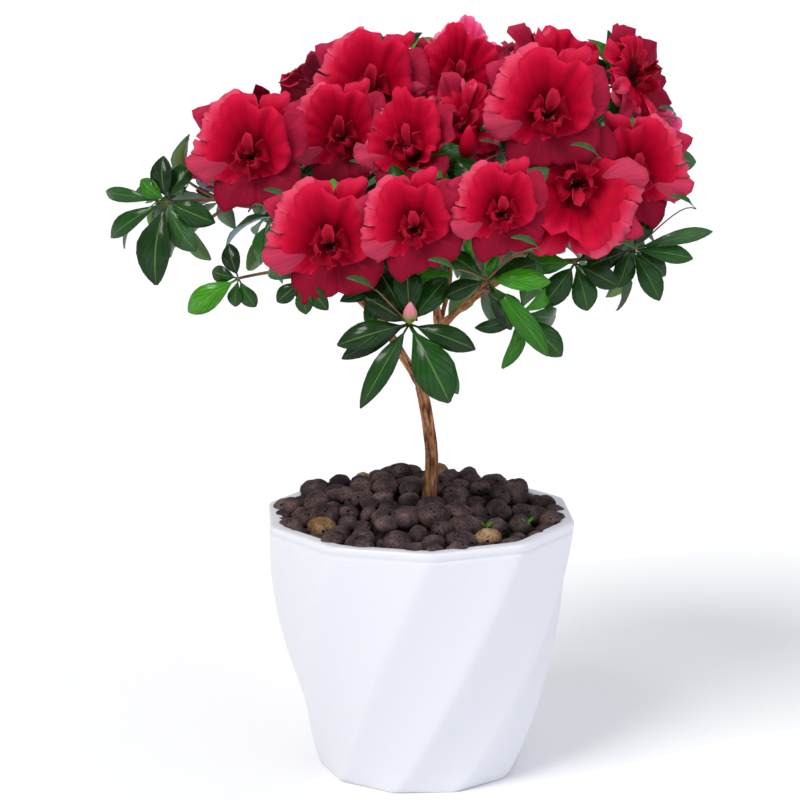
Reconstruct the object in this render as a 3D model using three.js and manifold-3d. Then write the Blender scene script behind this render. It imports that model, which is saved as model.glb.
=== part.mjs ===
// A small azalea shrub trained on one bare stem, standing in a white moulded pot
// with ten twisted facets. Millimetres, +Z up, the front of the plant towards -Y.
// The origin is the middle of the pot's flat underside.
//
// A bearing is an angle round the pot's axis in degrees, 0 at the front (-Y) and
// growing towards +X. A reach is a distance from that axis.

import * as THREE from "three";
import { mergeVertices } from "three/addons/utils/BufferGeometryUtils.js";
import Module from "manifold-3d";

const wasm = await Module();
wasm.setup();

// ---------- Driving dimensions ----------

const FIT_GAP = 0.35; // clearance between pieces that touch in the real plant

const POT_HEIGHT = 124;
const POT_RIM_REACH = 75; // to a corner of the rim
const POT_FOOT_REACH = 48; // to a corner of the underside
const POT_SIDES = 10;
const POT_TWIST = 56.5; // degrees that the facets turn from the underside to the rim
const POT_TWIST_EASE = 0.68; // below 1 turns the facets faster near the underside
const POT_BULGE = 1.5; // above 1 swells the wall between underside and rim
const RIM_TURN = 4; // bearing of the rim's first corner
const POT_WALL = 3;
const POT_FLOOR = 4;
const FOOT_BEVEL = 1;
const LIP_WIDTH = 5.5;
const LIP_DEPTH = 4;

const GROUND = 125; // level of the flat cut under the stem
const BED_EDGE = 118; // level of the pebbles at the wall
const BED_MOUND = 11; // how far the heap stands above its edge
const BED_UNEVENNESS = 1.2;
const BED_SHOULDER = 3; // how far below its edge the heap leaves the wall
const BED_EDGE_INSET = 1; // how far the heap's edge stands off from the wall
const BED_RINGS = [1, 0.85, 0.68, 0.5, 0.34, 0.2]; // shares of the edge's reach
const SEAT_REACH = 10; // of the level patch under the stem

const STEM_SIDES = 9;
const STEM_STEPS = 11;
const BOUGH_SIDES = 7;
const BOUGH_STEPS = 7;
const STEM_FOOT_RADIUS = 3.3;
const STEM_FLARE = 1.3; // extra radius where the stem meets the ground
const STEM_FLARE_LENGTH = 9;
const STEM_FORK_RADIUS = 3.0;
const BOUGH_TIP_RADIUS = 1.1;

const MASS_UNEVENNESS = 0.1; // share of a mass's size that its surface rises and falls
const MASS_DETAIL = 3; // times that each face of a mass's octahedron is split
const SMALLEST_PIECE = 5; // cubic millimetres: less than this is a shaving of a cut
const BLOOM_DEPTH = 0.8; // a flower mass's thickness as a share of its spread

// The middle of the crown, which every mass faces away from.
const CROWN_CENTRE = new THREE.Vector3(2, 4, 262);
// How strongly a mass faces sideways, forwards or back, and upwards.
const FACING_WEIGHTS = new THREE.Vector3(0.6, 1, 0.75);

// ---------- Materials ----------

const paint = (color, roughness, metalness = 0) =>
  new THREE.MeshStandardMaterial({ color, roughness, metalness });

const GLOSSY_WHITE = paint("#eef0f7", 0.3);
const CLAY = paint("#54403b", 0.9);
const BARK = paint("#96705a", 0.85);
const LEAF_GREEN = paint("#2c5a24", 0.4);
const BLOOM_RED = paint("#b01030", 0.6);
const BLOOM_PINK = paint("#ee3f7e", 0.6);

// ---------- Helpers ----------

const around = (bearing, reach, height) => {
  const angle = THREE.MathUtils.degToRad(bearing);
  return new THREE.Vector3(
    reach * Math.sin(angle),
    -reach * Math.cos(angle),
    height,
  );
};

// A closed skin over rings of equally many points, each ring counterclockwise
// seen from the last ring, with a fan of triangles over both ends.
function loft(rings) {
  const size = rings[0].length;
  const points = rings.flat();
  const faces = [];
  for (let ring = 0; ring + 1 < rings.length; ring++)
    for (let i = 0; i < size; i++) {
      const a = ring * size + i;
      const b = ring * size + ((i + 1) % size);
      faces.push(a, b, b + size, a, b + size, a + size);
    }
  const capWith = (ring, order) => {
    const middle = new THREE.Vector3();
    rings[ring].forEach((point) => middle.addScaledVector(point, 1 / size));
    const hub = points.push(middle) - 1;
    for (let i = 0; i < size; i++) {
      const edge = [ring * size + i, ring * size + ((i + 1) % size)];
      faces.push(hub, edge[order], edge[1 - order]);
    }
  };
  capWith(0, 1);
  capWith(rings.length - 1, 0);
  return new THREE.BufferGeometry().setFromPoints(points).setIndex(faces);
}

// A three.js geometry as a solid that can be cut.
function solidOf(geometry) {
  const bare = new THREE.BufferGeometry()
    .setAttribute("position", geometry.getAttribute("position"))
    .setIndex(geometry.index);
  const merged = mergeVertices(bare, 1e-3);
  return new wasm.Manifold(
    new wasm.Mesh({
      numProp: 3,
      vertProperties: merged.attributes.position.array,
      triVerts: new Uint32Array(merged.index.array),
    }),
  );
}

function geometryOf(solid) {
  const mesh = solid.getMesh();
  const position = new THREE.BufferAttribute(mesh.vertProperties, 3);
  return new THREE.BufferGeometry()
    .setAttribute("position", position)
    .setIndex(new THREE.BufferAttribute(mesh.triVerts, 1));
}

function named(name, geometry, material) {
  const mesh = new THREE.Mesh(geometry, material);
  mesh.name = name;
  return mesh;
}

// ---------- Pot and pebbles ----------

// Reach of the pot's outer corners at a height: a wall that swells as it rises.
function potReach(height) {
  const rise = THREE.MathUtils.clamp(height / POT_HEIGHT, 0, 1);
  const swell = 1 - Math.pow(1 - rise, POT_BULGE);
  return POT_FOOT_REACH + (POT_RIM_REACH - POT_FOOT_REACH) * swell;
}

function potTurn(height) {
  const rise = THREE.MathUtils.clamp(height / POT_HEIGHT, 0, 1);
  return RIM_TURN - POT_TWIST * (1 - Math.pow(rise, POT_TWIST_EASE));
}

// One level of the twisted ten-sided wall: every corner, and every side's middle.
function facetRing(reach, height, turn = potTurn(height)) {
  const sideReach = reach * Math.cos(Math.PI / POT_SIDES);
  return Array.from({ length: 2 * POT_SIDES }, (_, i) =>
    around(turn + (180 / POT_SIDES) * i, i % 2 ? sideReach : reach, height),
  );
}

const levels = (from, to, count) =>
  Array.from({ length: count }, (_, i) => from + ((to - from) * i) / (count - 1));

function makePot() {
  const outside = [
    facetRing(POT_FOOT_REACH - FOOT_BEVEL, 0),
    ...levels(FOOT_BEVEL, POT_HEIGHT, 9).map((z) => facetRing(potReach(z), z)),
  ];
  const lip = [POT_HEIGHT, POT_HEIGHT - LIP_DEPTH].map((z) =>
    facetRing(POT_RIM_REACH - LIP_WIDTH, z, RIM_TURN),
  );
  const inside = levels(POT_HEIGHT - 2 * LIP_DEPTH, POT_FLOOR, 7).map((z) =>
    facetRing(potReach(z) - POT_WALL, z),
  );
  return named("pot", loft([...outside, ...lip, ...inside]), GLOSSY_WHITE);
}

// Radians from one corner or ring to the next, far from any whole turn, so that
// the heap's bumps fall without a pattern.
const BUMP_RATES = { corner: 7, ring: 3 };

// The heap of clay pebbles that fills the pot, with a level seat under the stem.
function makePebbleBed() {
  const sideReach = (z) => potReach(z) - POT_WALL - 2 * FIT_GAP;
  const side = levels(POT_FLOOR + FIT_GAP, BED_EDGE - BED_SHOULDER, 7).map((z) =>
    facetRing(sideReach(z), z),
  );
  const edgeReach = sideReach(BED_EDGE) - BED_EDGE_INSET;
  const heap = BED_RINGS.map((share, ring) =>
    facetRing(edgeReach * share, BED_EDGE).map((point, corner) => {
      const wave = Math.sin(BUMP_RATES.corner * corner + BUMP_RATES.ring * ring);
      const bump = ring ? wave * BED_UNEVENNESS : 0;
      point.z += BED_MOUND * (1 - share * share) + bump;
      return point;
    }),
  );
  const seat = facetRing(SEAT_REACH, GROUND - FIT_GAP);
  return named("pebble_bed", loft([...side, ...heap, seat]), CLAY);
}

// ---------- Stem and boughs ----------

// The places where the stem and its boughs fork.
const STEM_FOOT = new THREE.Vector3(4, 0, GROUND);
const FORK = new THREE.Vector3(0, 0, 187);
const UPPER_FORK = new THREE.Vector3(9, 1, 213);
const LEFT_FORK = new THREE.Vector3(-17, -8, 217);
const RIGHT_FORK = new THREE.Vector3(25, 1, 227);
const CENTRE_FORK = new THREE.Vector3(5, 4, 240);

// Each bough's name, start, the points that it bends through, its end, its radius at
// the start and, where it carries further boughs, its radius at the end. The others
// taper to a tip and run on until they enter a mass.
const BOUGHS = [
  ["bough_left_main", FORK, [[-9, -4, 202]], LEFT_FORK, 2.5, 2.2],
  ["bough_right_main", FORK, [[4, 1, 200]], UPPER_FORK, 2.5, 2.3],
  ["bough_left", LEFT_FORK, [[-38, -20, 240]], [-78, -38, 285], 1.9],
  ["bough_front_left", LEFT_FORK, [[-26, -30, 238]], [-42, -68, 262], 1.7],
  ["bough_centre", UPPER_FORK, [CENTRE_FORK, [0, 2, 275]], [-4, 2, 325], 2.0],
  ["bough_right_low", UPPER_FORK, [RIGHT_FORK, [55, -6, 248]], [100, -24, 285], 1.9],
  ["bough_front", CENTRE_FORK, [[4, -24, 254]], [0, -78, 276], 1.5],
  ["bough_front_right", RIGHT_FORK, [[38, -22, 246]], [66, -62, 280], 1.6],
  ["bough_back", UPPER_FORK, [[14, 18, 232], [12, 45, 254]], [4, 88, 284], 1.7],
  ["bough_back_left", CENTRE_FORK, [[-20, 22, 258]], [-66, 48, 288], 1.6],
  ["bough_back_right", RIGHT_FORK, [[44, 24, 250]], [82, 52, 284], 1.6],
  ["bough_upper_right", CENTRE_FORK, [[24, 2, 272]], [66, 6, 322], 1.5],
];

const asPoint = (place) =>
  place.isVector3 ? place : new THREE.Vector3(...place);

// Rings of a tapering limb along a smooth curve through its points.
function limbRings(points, radiusAt, sides, steps) {
  const curve = new THREE.CatmullRomCurve3(points.map(asPoint));
  const frames = curve.computeFrenetFrames(steps);
  return levels(0, 1, steps + 1).map((share, step) => {
    const middle = curve.getPointAt(share);
    const radius = radiusAt(share, curve.getLength());
    return Array.from({ length: sides }, (_, i) => {
      const angle = (2 * Math.PI * i) / sides;
      return middle
        .clone()
        .addScaledVector(frames.normals[step], radius * Math.cos(angle))
        .addScaledVector(frames.binormals[step], radius * Math.sin(angle));
    });
  });
}

function stemSolid(extra = 0) {
  const points = [STEM_FOOT, [5.6, 0, 152], [3.2, 0, 171], FORK];
  const radiusAt = (share, length) =>
    THREE.MathUtils.lerp(STEM_FOOT_RADIUS, STEM_FORK_RADIUS, share) +
    STEM_FLARE * Math.exp((-share * length) / STEM_FLARE_LENGTH) +
    extra;
  const rings = limbRings(points, radiusAt, STEM_SIDES, STEM_STEPS);
  rings[0].forEach((point) => (point.z = GROUND)); // the flat cut at the ground
  return solidOf(loft(rings));
}

function boughSolid([, start, bends, end, startRadius, endRadius], extra = 0) {
  const radiusAt = (share) =>
    THREE.MathUtils.lerp(startRadius, endRadius ?? BOUGH_TIP_RADIUS, share) +
    extra;
  const rings = limbRings([start, ...bends, end], radiusAt, BOUGH_SIDES, BOUGH_STEPS);
  return solidOf(loft(rings));
}

// The piece of a cut solid that holds the most material.
function largestPiece(solid) {
  const pieces = solid.decompose();
  return pieces.reduce((a, b) => (a.volume() > b.volume() ? a : b));
}

// The piece of a cut solid that comes closest to a place.
function nearestPiece(solid, place) {
  const gapTo = (piece) => {
    const { vertProperties } = piece.getMesh();
    let least = Infinity;
    const vertex = new THREE.Vector3();
    for (let i = 0; i < vertProperties.length; i += 3)
      least = Math.min(least, vertex.fromArray(vertProperties, i).distanceTo(place));
    return least;
  };
  const pieces = solid.decompose().filter((piece) => piece.volume() > SMALLEST_PIECE);
  return pieces.reduce((a, b) => (gapTo(a) < gapTo(b) ? a : b));
}

// ---------- Foliage ----------

// Masses that carry a large double flower on their outer side, as
// [name, bearing, reach, height, spread]: spread is the flower's radius.
const RED_MASSES = [
  ["front_left", -29, 90, 268, 29],
  ["front_centre", -2, 91, 279, 25],
  ["front_right", 18, 93, 283, 25],
  ["right_front", 45, 98, 288, 30],
  ["right", 70, 108, 296, 29],
  ["right_upper_front", 40, 80, 323, 30],
  ["centre_front", -7, 55, 309, 25],
  ["centre_right", 29, 40, 314, 22],
  ["left", -60, 88, 303, 30],
  ["left_inner", -63, 44, 311, 26],
  ["top_left", -100, 26, 331, 28],
  ["top_centre", 112, 22, 335, 25],
  ["top_right", 96, 62, 333, 27],
  ["right_upper", 94, 97, 328, 25],
  ["back_left", -112, 98, 294, 28],
  ["back_left_centre", -145, 92, 284, 28],
  ["back_centre", 180, 96, 278, 28],
  ["back_right_centre", 148, 96, 290, 28],
  ["back_upper_left", -136, 66, 318, 27],
  ["back_upper_right", 129, 74, 325, 24],
  ["back_low_right", 128, 104, 268, 24],
];
const PINK_MASSES = [
  ["back_upper_centre", 163, 64, 340, 25],
  ["back_right", 112, 112, 304, 26],
];

// Masses of leaves alone, as [name, bearing, reach, height, half its length
// along the bearing, half its width, half its height].
const LEAF_MASSES = [
  ["left_tip", -76, 112, 270, 30, 26, 32],
  ["left_low", -66, 96, 241, 22, 20, 17],
  ["front_left_low", -38, 84, 245, 24, 24, 13],
  ["front_low", -10, 66, 226, 26, 32, 34],
  ["front_right_low", 31, 70, 246, 28, 24, 30],
  ["right_low", 58, 84, 250, 22, 20, 15],
  ["right_tip", 73, 108, 252, 28, 20, 23],
  ["back_right_low", 108, 88, 250, 26, 26, 14],
  ["back_low", 158, 80, 246, 26, 30, 14],
  ["back_left_low", -142, 82, 248, 26, 28, 15],
  ["left_back_tip", -105, 112, 264, 27, 24, 20],
  ["back_upper", -166, 70, 313, 24, 22, 20],
];

// Waves over a mass's surface: the way each runs, and how far the next mass's
// wave is shifted from it. A longer way gives a shorter wave.
const SURFACE_WAVES = [
  { way: new THREE.Vector3(3.1, 0, 0), shift: 1.7 },
  { way: new THREE.Vector3(0, 4.3, 0), shift: 2.9 },
  { way: new THREE.Vector3(0, 0, 3.7), shift: 4.1 },
  { way: new THREE.Vector3(5.3, 5.3, -5.3), shift: 0.6 },
];

// A smooth rise and fall over a mass's surface, different for every seed.
function unevenness(direction, seed) {
  const sum = SURFACE_WAVES.reduce(
    (total, { way, shift }) => total + Math.sin(direction.dot(way) + seed * shift),
    0,
  );
  return 1 + (MASS_UNEVENNESS * sum) / 2;
}

// An uneven ellipsoid whose local +Z faces away from the crown's middle.
function lumpSolid(place, facing, halfSizes, seed, extra = 0) {
  const lump = new THREE.OctahedronGeometry(1, MASS_DETAIL);
  const position = lump.getAttribute("position");
  const turn = new THREE.Quaternion().setFromUnitVectors(
    new THREE.Vector3(0, 0, 1),
    facing,
  );
  const point = new THREE.Vector3();
  for (let i = 0; i < position.count; i++) {
    point.fromBufferAttribute(position, i).normalize();
    const swell = unevenness(point, seed);
    point.multiply(halfSizes).multiplyScalar(swell);
    point.setLength(point.length() + extra);
    point.applyQuaternion(turn).add(place);
    position.setXYZ(i, point.x, point.y, point.z);
  }
  return solidOf(lump);
}

function facingFrom(place) {
  return place.clone().sub(CROWN_CENTRE).multiply(FACING_WEIGHTS).normalize();
}

const flowerMass = (material) => ([name, bearing, reach, height, spread]) => {
  const place = around(bearing, reach, height);
  const halfSizes = new THREE.Vector3(spread, spread, spread * BLOOM_DEPTH);
  return { name: `flowers_${name}`, place, facing: facingFrom(place), halfSizes, material };
};

const leafMass = ([name, bearing, reach, height, length, width, tall]) => {
  const place = around(bearing, reach, height);
  return {
    name: `leaves_${name}`,
    place,
    facing: around(bearing, 1, 0),
    halfSizes: new THREE.Vector3(tall, width, length),
    material: LEAF_GREEN,
  };
};

const MASSES = [
  ...RED_MASSES.map(flowerMass(BLOOM_RED)),
  ...PINK_MASSES.map(flowerMass(BLOOM_PINK)),
  ...LEAF_MASSES.map(leafMass),
];

// How far a mass reaches from its middle along a direction, for its ellipsoid.
function supportAlong(mass, direction) {
  const turn = new THREE.Quaternion().setFromUnitVectors(
    mass.facing,
    new THREE.Vector3(0, 0, 1),
  );
  return direction.clone().applyQuaternion(turn).multiply(mass.halfSizes).length();
}

// Cuts a mass by a plane between it and each neighbour, nearer the smaller one.
function cutBetweenNeighbours(mass, solid) {
  for (const other of MASSES) {
    const between = other.place.clone().sub(mass.place);
    const distance = between.length();
    if (other === mass || distance === 0) continue;
    between.normalize();
    const own = supportAlong(mass, between);
    const theirs = supportAlong(other, between);
    const plane = mass.place.dot(between) + (distance * own) / (own + theirs);
    if ((own + theirs) * (1 + 2 * MASS_UNEVENNESS) > distance)
      solid = solid.trimByPlane(
        between.clone().negate().toArray(),
        -(plane - FIT_GAP / 2),
      );
  }
  return largestPiece(solid);
}

// ---------- Assembly ----------

const plant = new THREE.Group();
plant.add(makePot(), makePebbleBed());
plant.add(named("stem", geometryOf(stemSolid()), BARK));

const massSolids = MASSES.map((mass, seed) => {
  const { place, facing, halfSizes } = mass;
  const lump = lumpSolid(place, facing, halfSizes, seed + 1);
  return cutBetweenNeighbours(mass, lump);
});
MASSES.forEach((mass, i) =>
  plant.add(named(mass.name, geometryOf(massSolids[i]), mass.material)),
);

// A bough is cut free of the stem, of the boughs made before it and of the
// masses, and only the length from its fork to the first mass stays.
const clearances = MASSES.map(({ place, facing, halfSizes }, seed) =>
  lumpSolid(place, facing, halfSizes, seed + 1, FIT_GAP),
);
const limbsSoFar = [stemSolid(FIT_GAP)];
for (const bough of BOUGHS) {
  let solid = boughSolid(bough);
  for (const blocker of [...limbsSoFar, ...clearances])
    solid = solid.subtract(blocker);
  plant.add(named(bough[0], geometryOf(nearestPiece(solid, bough[1])), BARK));
  limbsSoFar.push(boughSolid(bough, FIT_GAP));
}

export default plant;
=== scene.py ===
# %% [markdown]
# # A flowering azalea in a white facetted pot
# The plant is a small shrub trained on one bare stem. Its crown carries double
# crimson flowers over whorls of glossy leaves, and clay pebbles cover the soil.
# Everything is built inside a fixed frame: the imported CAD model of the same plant.
# Each CAD solid says where a limb, a flower or a mass of leaves belongs, and each
# finished piece takes the place of the solids that it stands for.

# %% Load the frame
import math
import random

import bpy
import numpy as np
from mathutils import Matrix, Vector, kdtree, noise


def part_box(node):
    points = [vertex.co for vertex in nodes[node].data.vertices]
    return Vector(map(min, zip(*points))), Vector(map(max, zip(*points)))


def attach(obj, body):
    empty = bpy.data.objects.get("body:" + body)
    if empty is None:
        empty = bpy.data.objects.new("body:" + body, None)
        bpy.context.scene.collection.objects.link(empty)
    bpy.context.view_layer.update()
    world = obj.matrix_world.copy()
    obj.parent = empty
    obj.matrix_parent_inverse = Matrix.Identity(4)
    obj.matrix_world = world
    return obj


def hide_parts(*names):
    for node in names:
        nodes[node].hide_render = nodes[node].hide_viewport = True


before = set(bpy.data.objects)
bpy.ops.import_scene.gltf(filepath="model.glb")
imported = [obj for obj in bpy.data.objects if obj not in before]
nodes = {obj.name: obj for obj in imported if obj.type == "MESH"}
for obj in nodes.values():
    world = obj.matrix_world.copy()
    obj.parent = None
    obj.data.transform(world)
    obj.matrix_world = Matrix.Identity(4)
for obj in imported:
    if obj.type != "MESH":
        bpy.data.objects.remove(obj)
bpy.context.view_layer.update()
MM = 0.001

# %% [markdown]
# ## Sorting the CAD nodes
# The names of the nodes say what each solid is. A flower node holds one bloom, a
# leaf node holds several whorls of leaves, and the stem and boughs carry them all.

# %% Name the groups of nodes
FLOWER_NODES = sorted(name for name in nodes if name.startswith("flowers_"))
LEAF_NODES = sorted(name for name in nodes if name.startswith("leaves_"))
LIMB_NODES = ["stem"] + sorted(name for name in nodes if name.startswith("bough_"))
PINK_NODES = ("flowers_back_upper_centre", "flowers_back_right")


def middle_and_reach(name):
    """The middle of a node's box, and half its longest side."""
    low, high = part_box(name)
    return (low + high) / 2, max(high - low) / 2


rim_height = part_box("pot")[1].z
print(len(FLOWER_NODES), "blooms,", len(LEAF_NODES), "leaf masses,", len(LIMB_NODES), "limbs")

# %% [markdown]
# ## Camera, floor and light
# A long lens from a little over a metre away looks slightly down on the plant. The
# light is that of a bright, soft studio: one broad lamp high on the left, a weaker
# one on the right, and a pale sky all round that fills the shadows.

# %% Place the camera
CAMERA_PLACE = Vector((-9.4, -1300, 468)) * MM
CAMERA_TILT = math.radians(90 - 12.56)
camera_data = bpy.data.cameras.new("camera")
camera_data.lens = 127.44
camera_data.sensor_width = 36
camera = bpy.data.objects.new("camera", camera_data)
camera.location = CAMERA_PLACE
camera.rotation_euler = (CAMERA_TILT, 0, 0)
bpy.context.collection.objects.link(camera)
bpy.context.scene.camera = camera
bpy.context.scene.view_settings.view_transform = "Standard"
print("camera", round(CAMERA_PLACE.length, 2), "m from the origin, lens", round(camera_data.lens), "mm")


# %% Colours and nodes
def linear(hex_colour):
    """An sRGB hex value as linear red, green, blue and alpha."""
    values = [int(hex_colour[i:i + 2], 16) / 255 for i in (1, 3, 5)]
    return (*[v / 12.92 if v <= 0.04045 else ((v + 0.055) / 1.055) ** 2.4 for v in values], 1)


def add_node(tree, kind, inputs=None, stops=(), steps=False, **settings):
    """Adds a node with its settings. Each input is a socket to link, or a value.

    A Color Ramp takes stops, as positions and hex colours, and steps for flat bands.
    """
    node = tree.nodes.new(kind)
    for name, value in settings.items():
        setattr(node, name, value)
    for key, value in (inputs or {}).items():
        if isinstance(value, bpy.types.NodeSocket):
            tree.links.new(value, node.inputs[key])
        else:
            node.inputs[key].default_value = value
    for index, (position, colour) in enumerate(stops):
        bands = node.color_ramp.elements
        band = bands[index] if index < len(bands) else bands.new(position)
        band.position = position
        band.color = linear(colour)
    if steps:
        node.color_ramp.interpolation = "CONSTANT"
    return node


def new_material(name, colour, roughness, values=None):
    """A material with one Principled shader, and its node tree and shader."""
    material = bpy.data.materials.new(name)
    material.use_nodes = True
    shader = material.node_tree.nodes["Principled BSDF"]
    shader.inputs["Base Color"].default_value = linear(colour)
    shader.inputs["Roughness"].default_value = roughness
    for key, value in (values or {}).items():
        shader.inputs[key].default_value = value
    return material, material.node_tree, shader


print("mid grey #808080 in linear light:", round(linear("#808080")[0], 3))


# %% Make the floor and the lamps
# Matt paper, as a studio backdrop: pale and without any gloss.
paper, _, _ = new_material("matt white backdrop paper", "#F4F4F5", 0.9)
bpy.ops.mesh.primitive_circle_add(vertices=96, radius=9, fill_type="NGON")
floor = bpy.context.object
floor.name = "floor"
floor.data.materials.append(paper)


def add_sun(name, azimuth, elevation, strength, spread, colour):
    """A broad, even light from a bearing (0 is the front) and a height, both in degrees."""
    data = bpy.data.lights.new(name, "SUN")
    data.energy = strength
    data.angle = math.radians(spread)
    data.color = linear(colour)[:3]
    lamp = bpy.data.objects.new(name, data)
    lamp.rotation_euler = (math.radians(90 - elevation), 0, math.radians(azimuth))
    bpy.context.collection.objects.link(lamp)


add_sun("key light", -38, 48, 1.85, 24, "#FFFDF8")
add_sun("fill light", 50, 25, 0.62, 60, "#EEF3FF")
add_sun("top light", 150, 70, 0.5, 40, "#FFFFFF")

world = bpy.data.worlds.new("pale sky")
world.use_nodes = True
world.node_tree.nodes["Background"].inputs["Color"].default_value = linear("#F6F8FF")
world.node_tree.nodes["Background"].inputs["Strength"].default_value = 0.56
bpy.context.scene.world = world
print("floor, three lights and sky")


# %% [markdown]
# ## Two helpers for meshes
# Most pieces here are worked out by a rule as arrays of points, so one helper turns
# arrays into a mesh. Another turns the result of a Geometry Nodes tree into a plain
# mesh, because a piece is handed over without live modifiers.

# %% Turn arrays and node trees into meshes
UV_NAME = "OFBake"


def mesh_from(name, parts):
    """Joins parts into one object. A part is points, faces and the faces' UVs."""
    points, faces, uvs, start = [], [], [], 0
    for part_points, part_faces, part_uvs in parts:
        points.append(part_points)
        faces.extend((np.asarray(part_faces) + start).tolist())
        uvs.append(part_uvs)
        start += len(part_points)
    mesh = bpy.data.meshes.new(name)
    mesh.from_pydata(np.concatenate(points).tolist(), [], faces)
    layer = mesh.uv_layers.new(name=UV_NAME)
    layer.data.foreach_set("uv", np.concatenate([np.reshape(u, -1) for u in uvs]))
    mesh.shade_smooth()
    return bpy.data.objects.new(name, mesh)


def set_attribute(mesh, name, kind, values):
    """Stores one value for each of the mesh's points."""
    attribute = mesh.attributes.new(name, kind, "POINT")
    field = "vector" if kind == "FLOAT_VECTOR" else "value"
    attribute.data.foreach_set(field, np.asarray(values).ravel())


def run_tree(carrier, tree, inputs):
    """Runs a Geometry Nodes tree on an object and returns the plain mesh it makes."""
    bpy.context.collection.objects.link(carrier)
    modifier = carrier.modifiers.new("nodes", "NODES")
    modifier.node_group = tree
    sockets = {s.name: s.identifier for s in tree.interface.items_tree if s.in_out == "INPUT"}
    for name, value in inputs.items():
        modifier[sockets[name]] = value
    evaluated = carrier.evaluated_get(bpy.context.evaluated_depsgraph_get())
    mesh = bpy.data.meshes.new_from_object(evaluated)
    carrier.modifiers.remove(modifier)
    bpy.data.objects.remove(carrier)
    return mesh


def new_tree(name, inputs):
    """A Geometry Nodes tree with named inputs, and its input and output nodes."""
    tree = bpy.data.node_groups.new(name, "GeometryNodeTree")
    tree.interface.new_socket("Geometry", in_out="OUTPUT", socket_type="NodeSocketGeometry")
    tree.interface.new_socket("Geometry", in_out="INPUT", socket_type="NodeSocketGeometry")
    for label, kind in inputs.items():
        tree.interface.new_socket(label, in_out="INPUT", socket_type="NodeSocket" + kind)
    return tree, tree.nodes.new("NodeGroupInput"), tree.nodes.new("NodeGroupOutput")


def hand_over(piece, material, slot, *replaced):
    """Gives a finished piece its material, its body and the nodes it replaces; its slot is not used."""
    if piece.name not in bpy.context.collection.objects:
        bpy.context.collection.objects.link(piece)
    piece.data.materials.clear()
    piece.data.materials.append(material)
    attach(piece, "root")
    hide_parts(*replaced)
    print(piece.name, len(piece.data.polygons), "faces")


# %% [markdown]
# ## The pot
# The pot is one injection-moulded piece of glossy white plastic. Ten flat sides rise
# from a small foot to a wide rim and turn as they rise. A lathe gives the wall its
# profile, and a node tree then does to it what the mould does: it presses each round
# section into a ten-sided one and turns it by an amount that depends on its height.

# %% Tree that facets and twists a turned shape
POT_SIDES = 10
POT_TWIST = math.radians(56.5)
POT_TWIST_EASE = 0.68
RIM_TURN = math.radians(4 - 90 + 180 / POT_SIDES)
CORNER_ROUNDING = 0.008  # how much of its reach a corner loses to its round edge


def facet_tree():
    """The tree that presses a turned shape into flat sides and twists it."""
    tree, given, result = new_tree("facet and twist", {
        "Height": "Float", "Foot turn": "Float", "Rim turn": "Float", "Ease": "Float", "Material": "Material",
    })
    place = add_node(tree, "GeometryNodeInputPosition").outputs[0]
    x, y, z = add_node(tree, "ShaderNodeSeparateXYZ", {0: place}).outputs
    # The angle from the middle of the nearest side says how far its flat is pressed in.
    half = math.pi / POT_SIDES
    angle = add_node(tree, "ShaderNodeMath", {0: y, 1: x}, operation="ARCTAN2")
    off_middle = add_node(tree, "ShaderNodeMath", {0: angle.outputs[0], 1: half, 2: -half}, operation="WRAP")
    cosine = add_node(tree, "ShaderNodeMath", {0: off_middle.outputs[0]}, operation="COSINE")
    flat = add_node(tree, "ShaderNodeMath", {0: math.cos(half), 1: cosine.outputs[0]}, operation="DIVIDE")
    eased_flat = add_node(tree, "ShaderNodeMath", {
        0: flat.outputs[0], 1: 1 - CORNER_ROUNDING, 2: 2 * CORNER_ROUNDING,
    }, operation="SMOOTH_MIN")
    press = add_node(tree, "ShaderNodeCombineXYZ", {
        0: eased_flat.outputs[0], 1: eased_flat.outputs[0], 2: 1.0,
    })
    pressed = add_node(tree, "ShaderNodeVectorMath", {0: place, 1: press.outputs[0]}, operation="MULTIPLY")
    rise = add_node(tree, "ShaderNodeMapRange", {"Value": z, "From Max": given.outputs["Height"]})
    eased = add_node(tree, "ShaderNodeMath", {
        0: rise.outputs[0], 1: given.outputs["Ease"],
    }, operation="POWER")
    turn = add_node(tree, "ShaderNodeMapRange", {
        "Value": eased.outputs[0], "To Min": given.outputs["Foot turn"], "To Max": given.outputs["Rim turn"],
    })
    turned = add_node(tree, "ShaderNodeVectorRotate", {
        "Vector": pressed.outputs[0], "Angle": turn.outputs[0],
    }, rotation_type="Z_AXIS")
    shaped = add_node(tree, "GeometryNodeSetPosition", {
        "Geometry": given.outputs["Geometry"], "Position": turned.outputs[0],
    })
    real = add_node(tree, "GeometryNodeRealizeInstances", {0: shaped.outputs[0]})
    coated = add_node(tree, "GeometryNodeSetMaterial", {
        "Geometry": real.outputs[0], "Material": given.outputs["Material"],
    })
    tree.links.new(coated.outputs[0], result.inputs[0])
    return tree


def facetted(name, shape, material):
    """The plain mesh object that the facet tree makes from a turned shape."""
    mesh = run_tree(shape, facet_and_twist, {
        "Height": rim_height, "Foot turn": RIM_TURN - POT_TWIST, "Rim turn": RIM_TURN,
        "Ease": POT_TWIST_EASE, "Material": material,
    })
    mesh.shade_smooth()
    return bpy.data.objects.new(name, mesh)


facet_and_twist = facet_tree()
print("facet tree:", len(facet_and_twist.nodes), "nodes")

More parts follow.
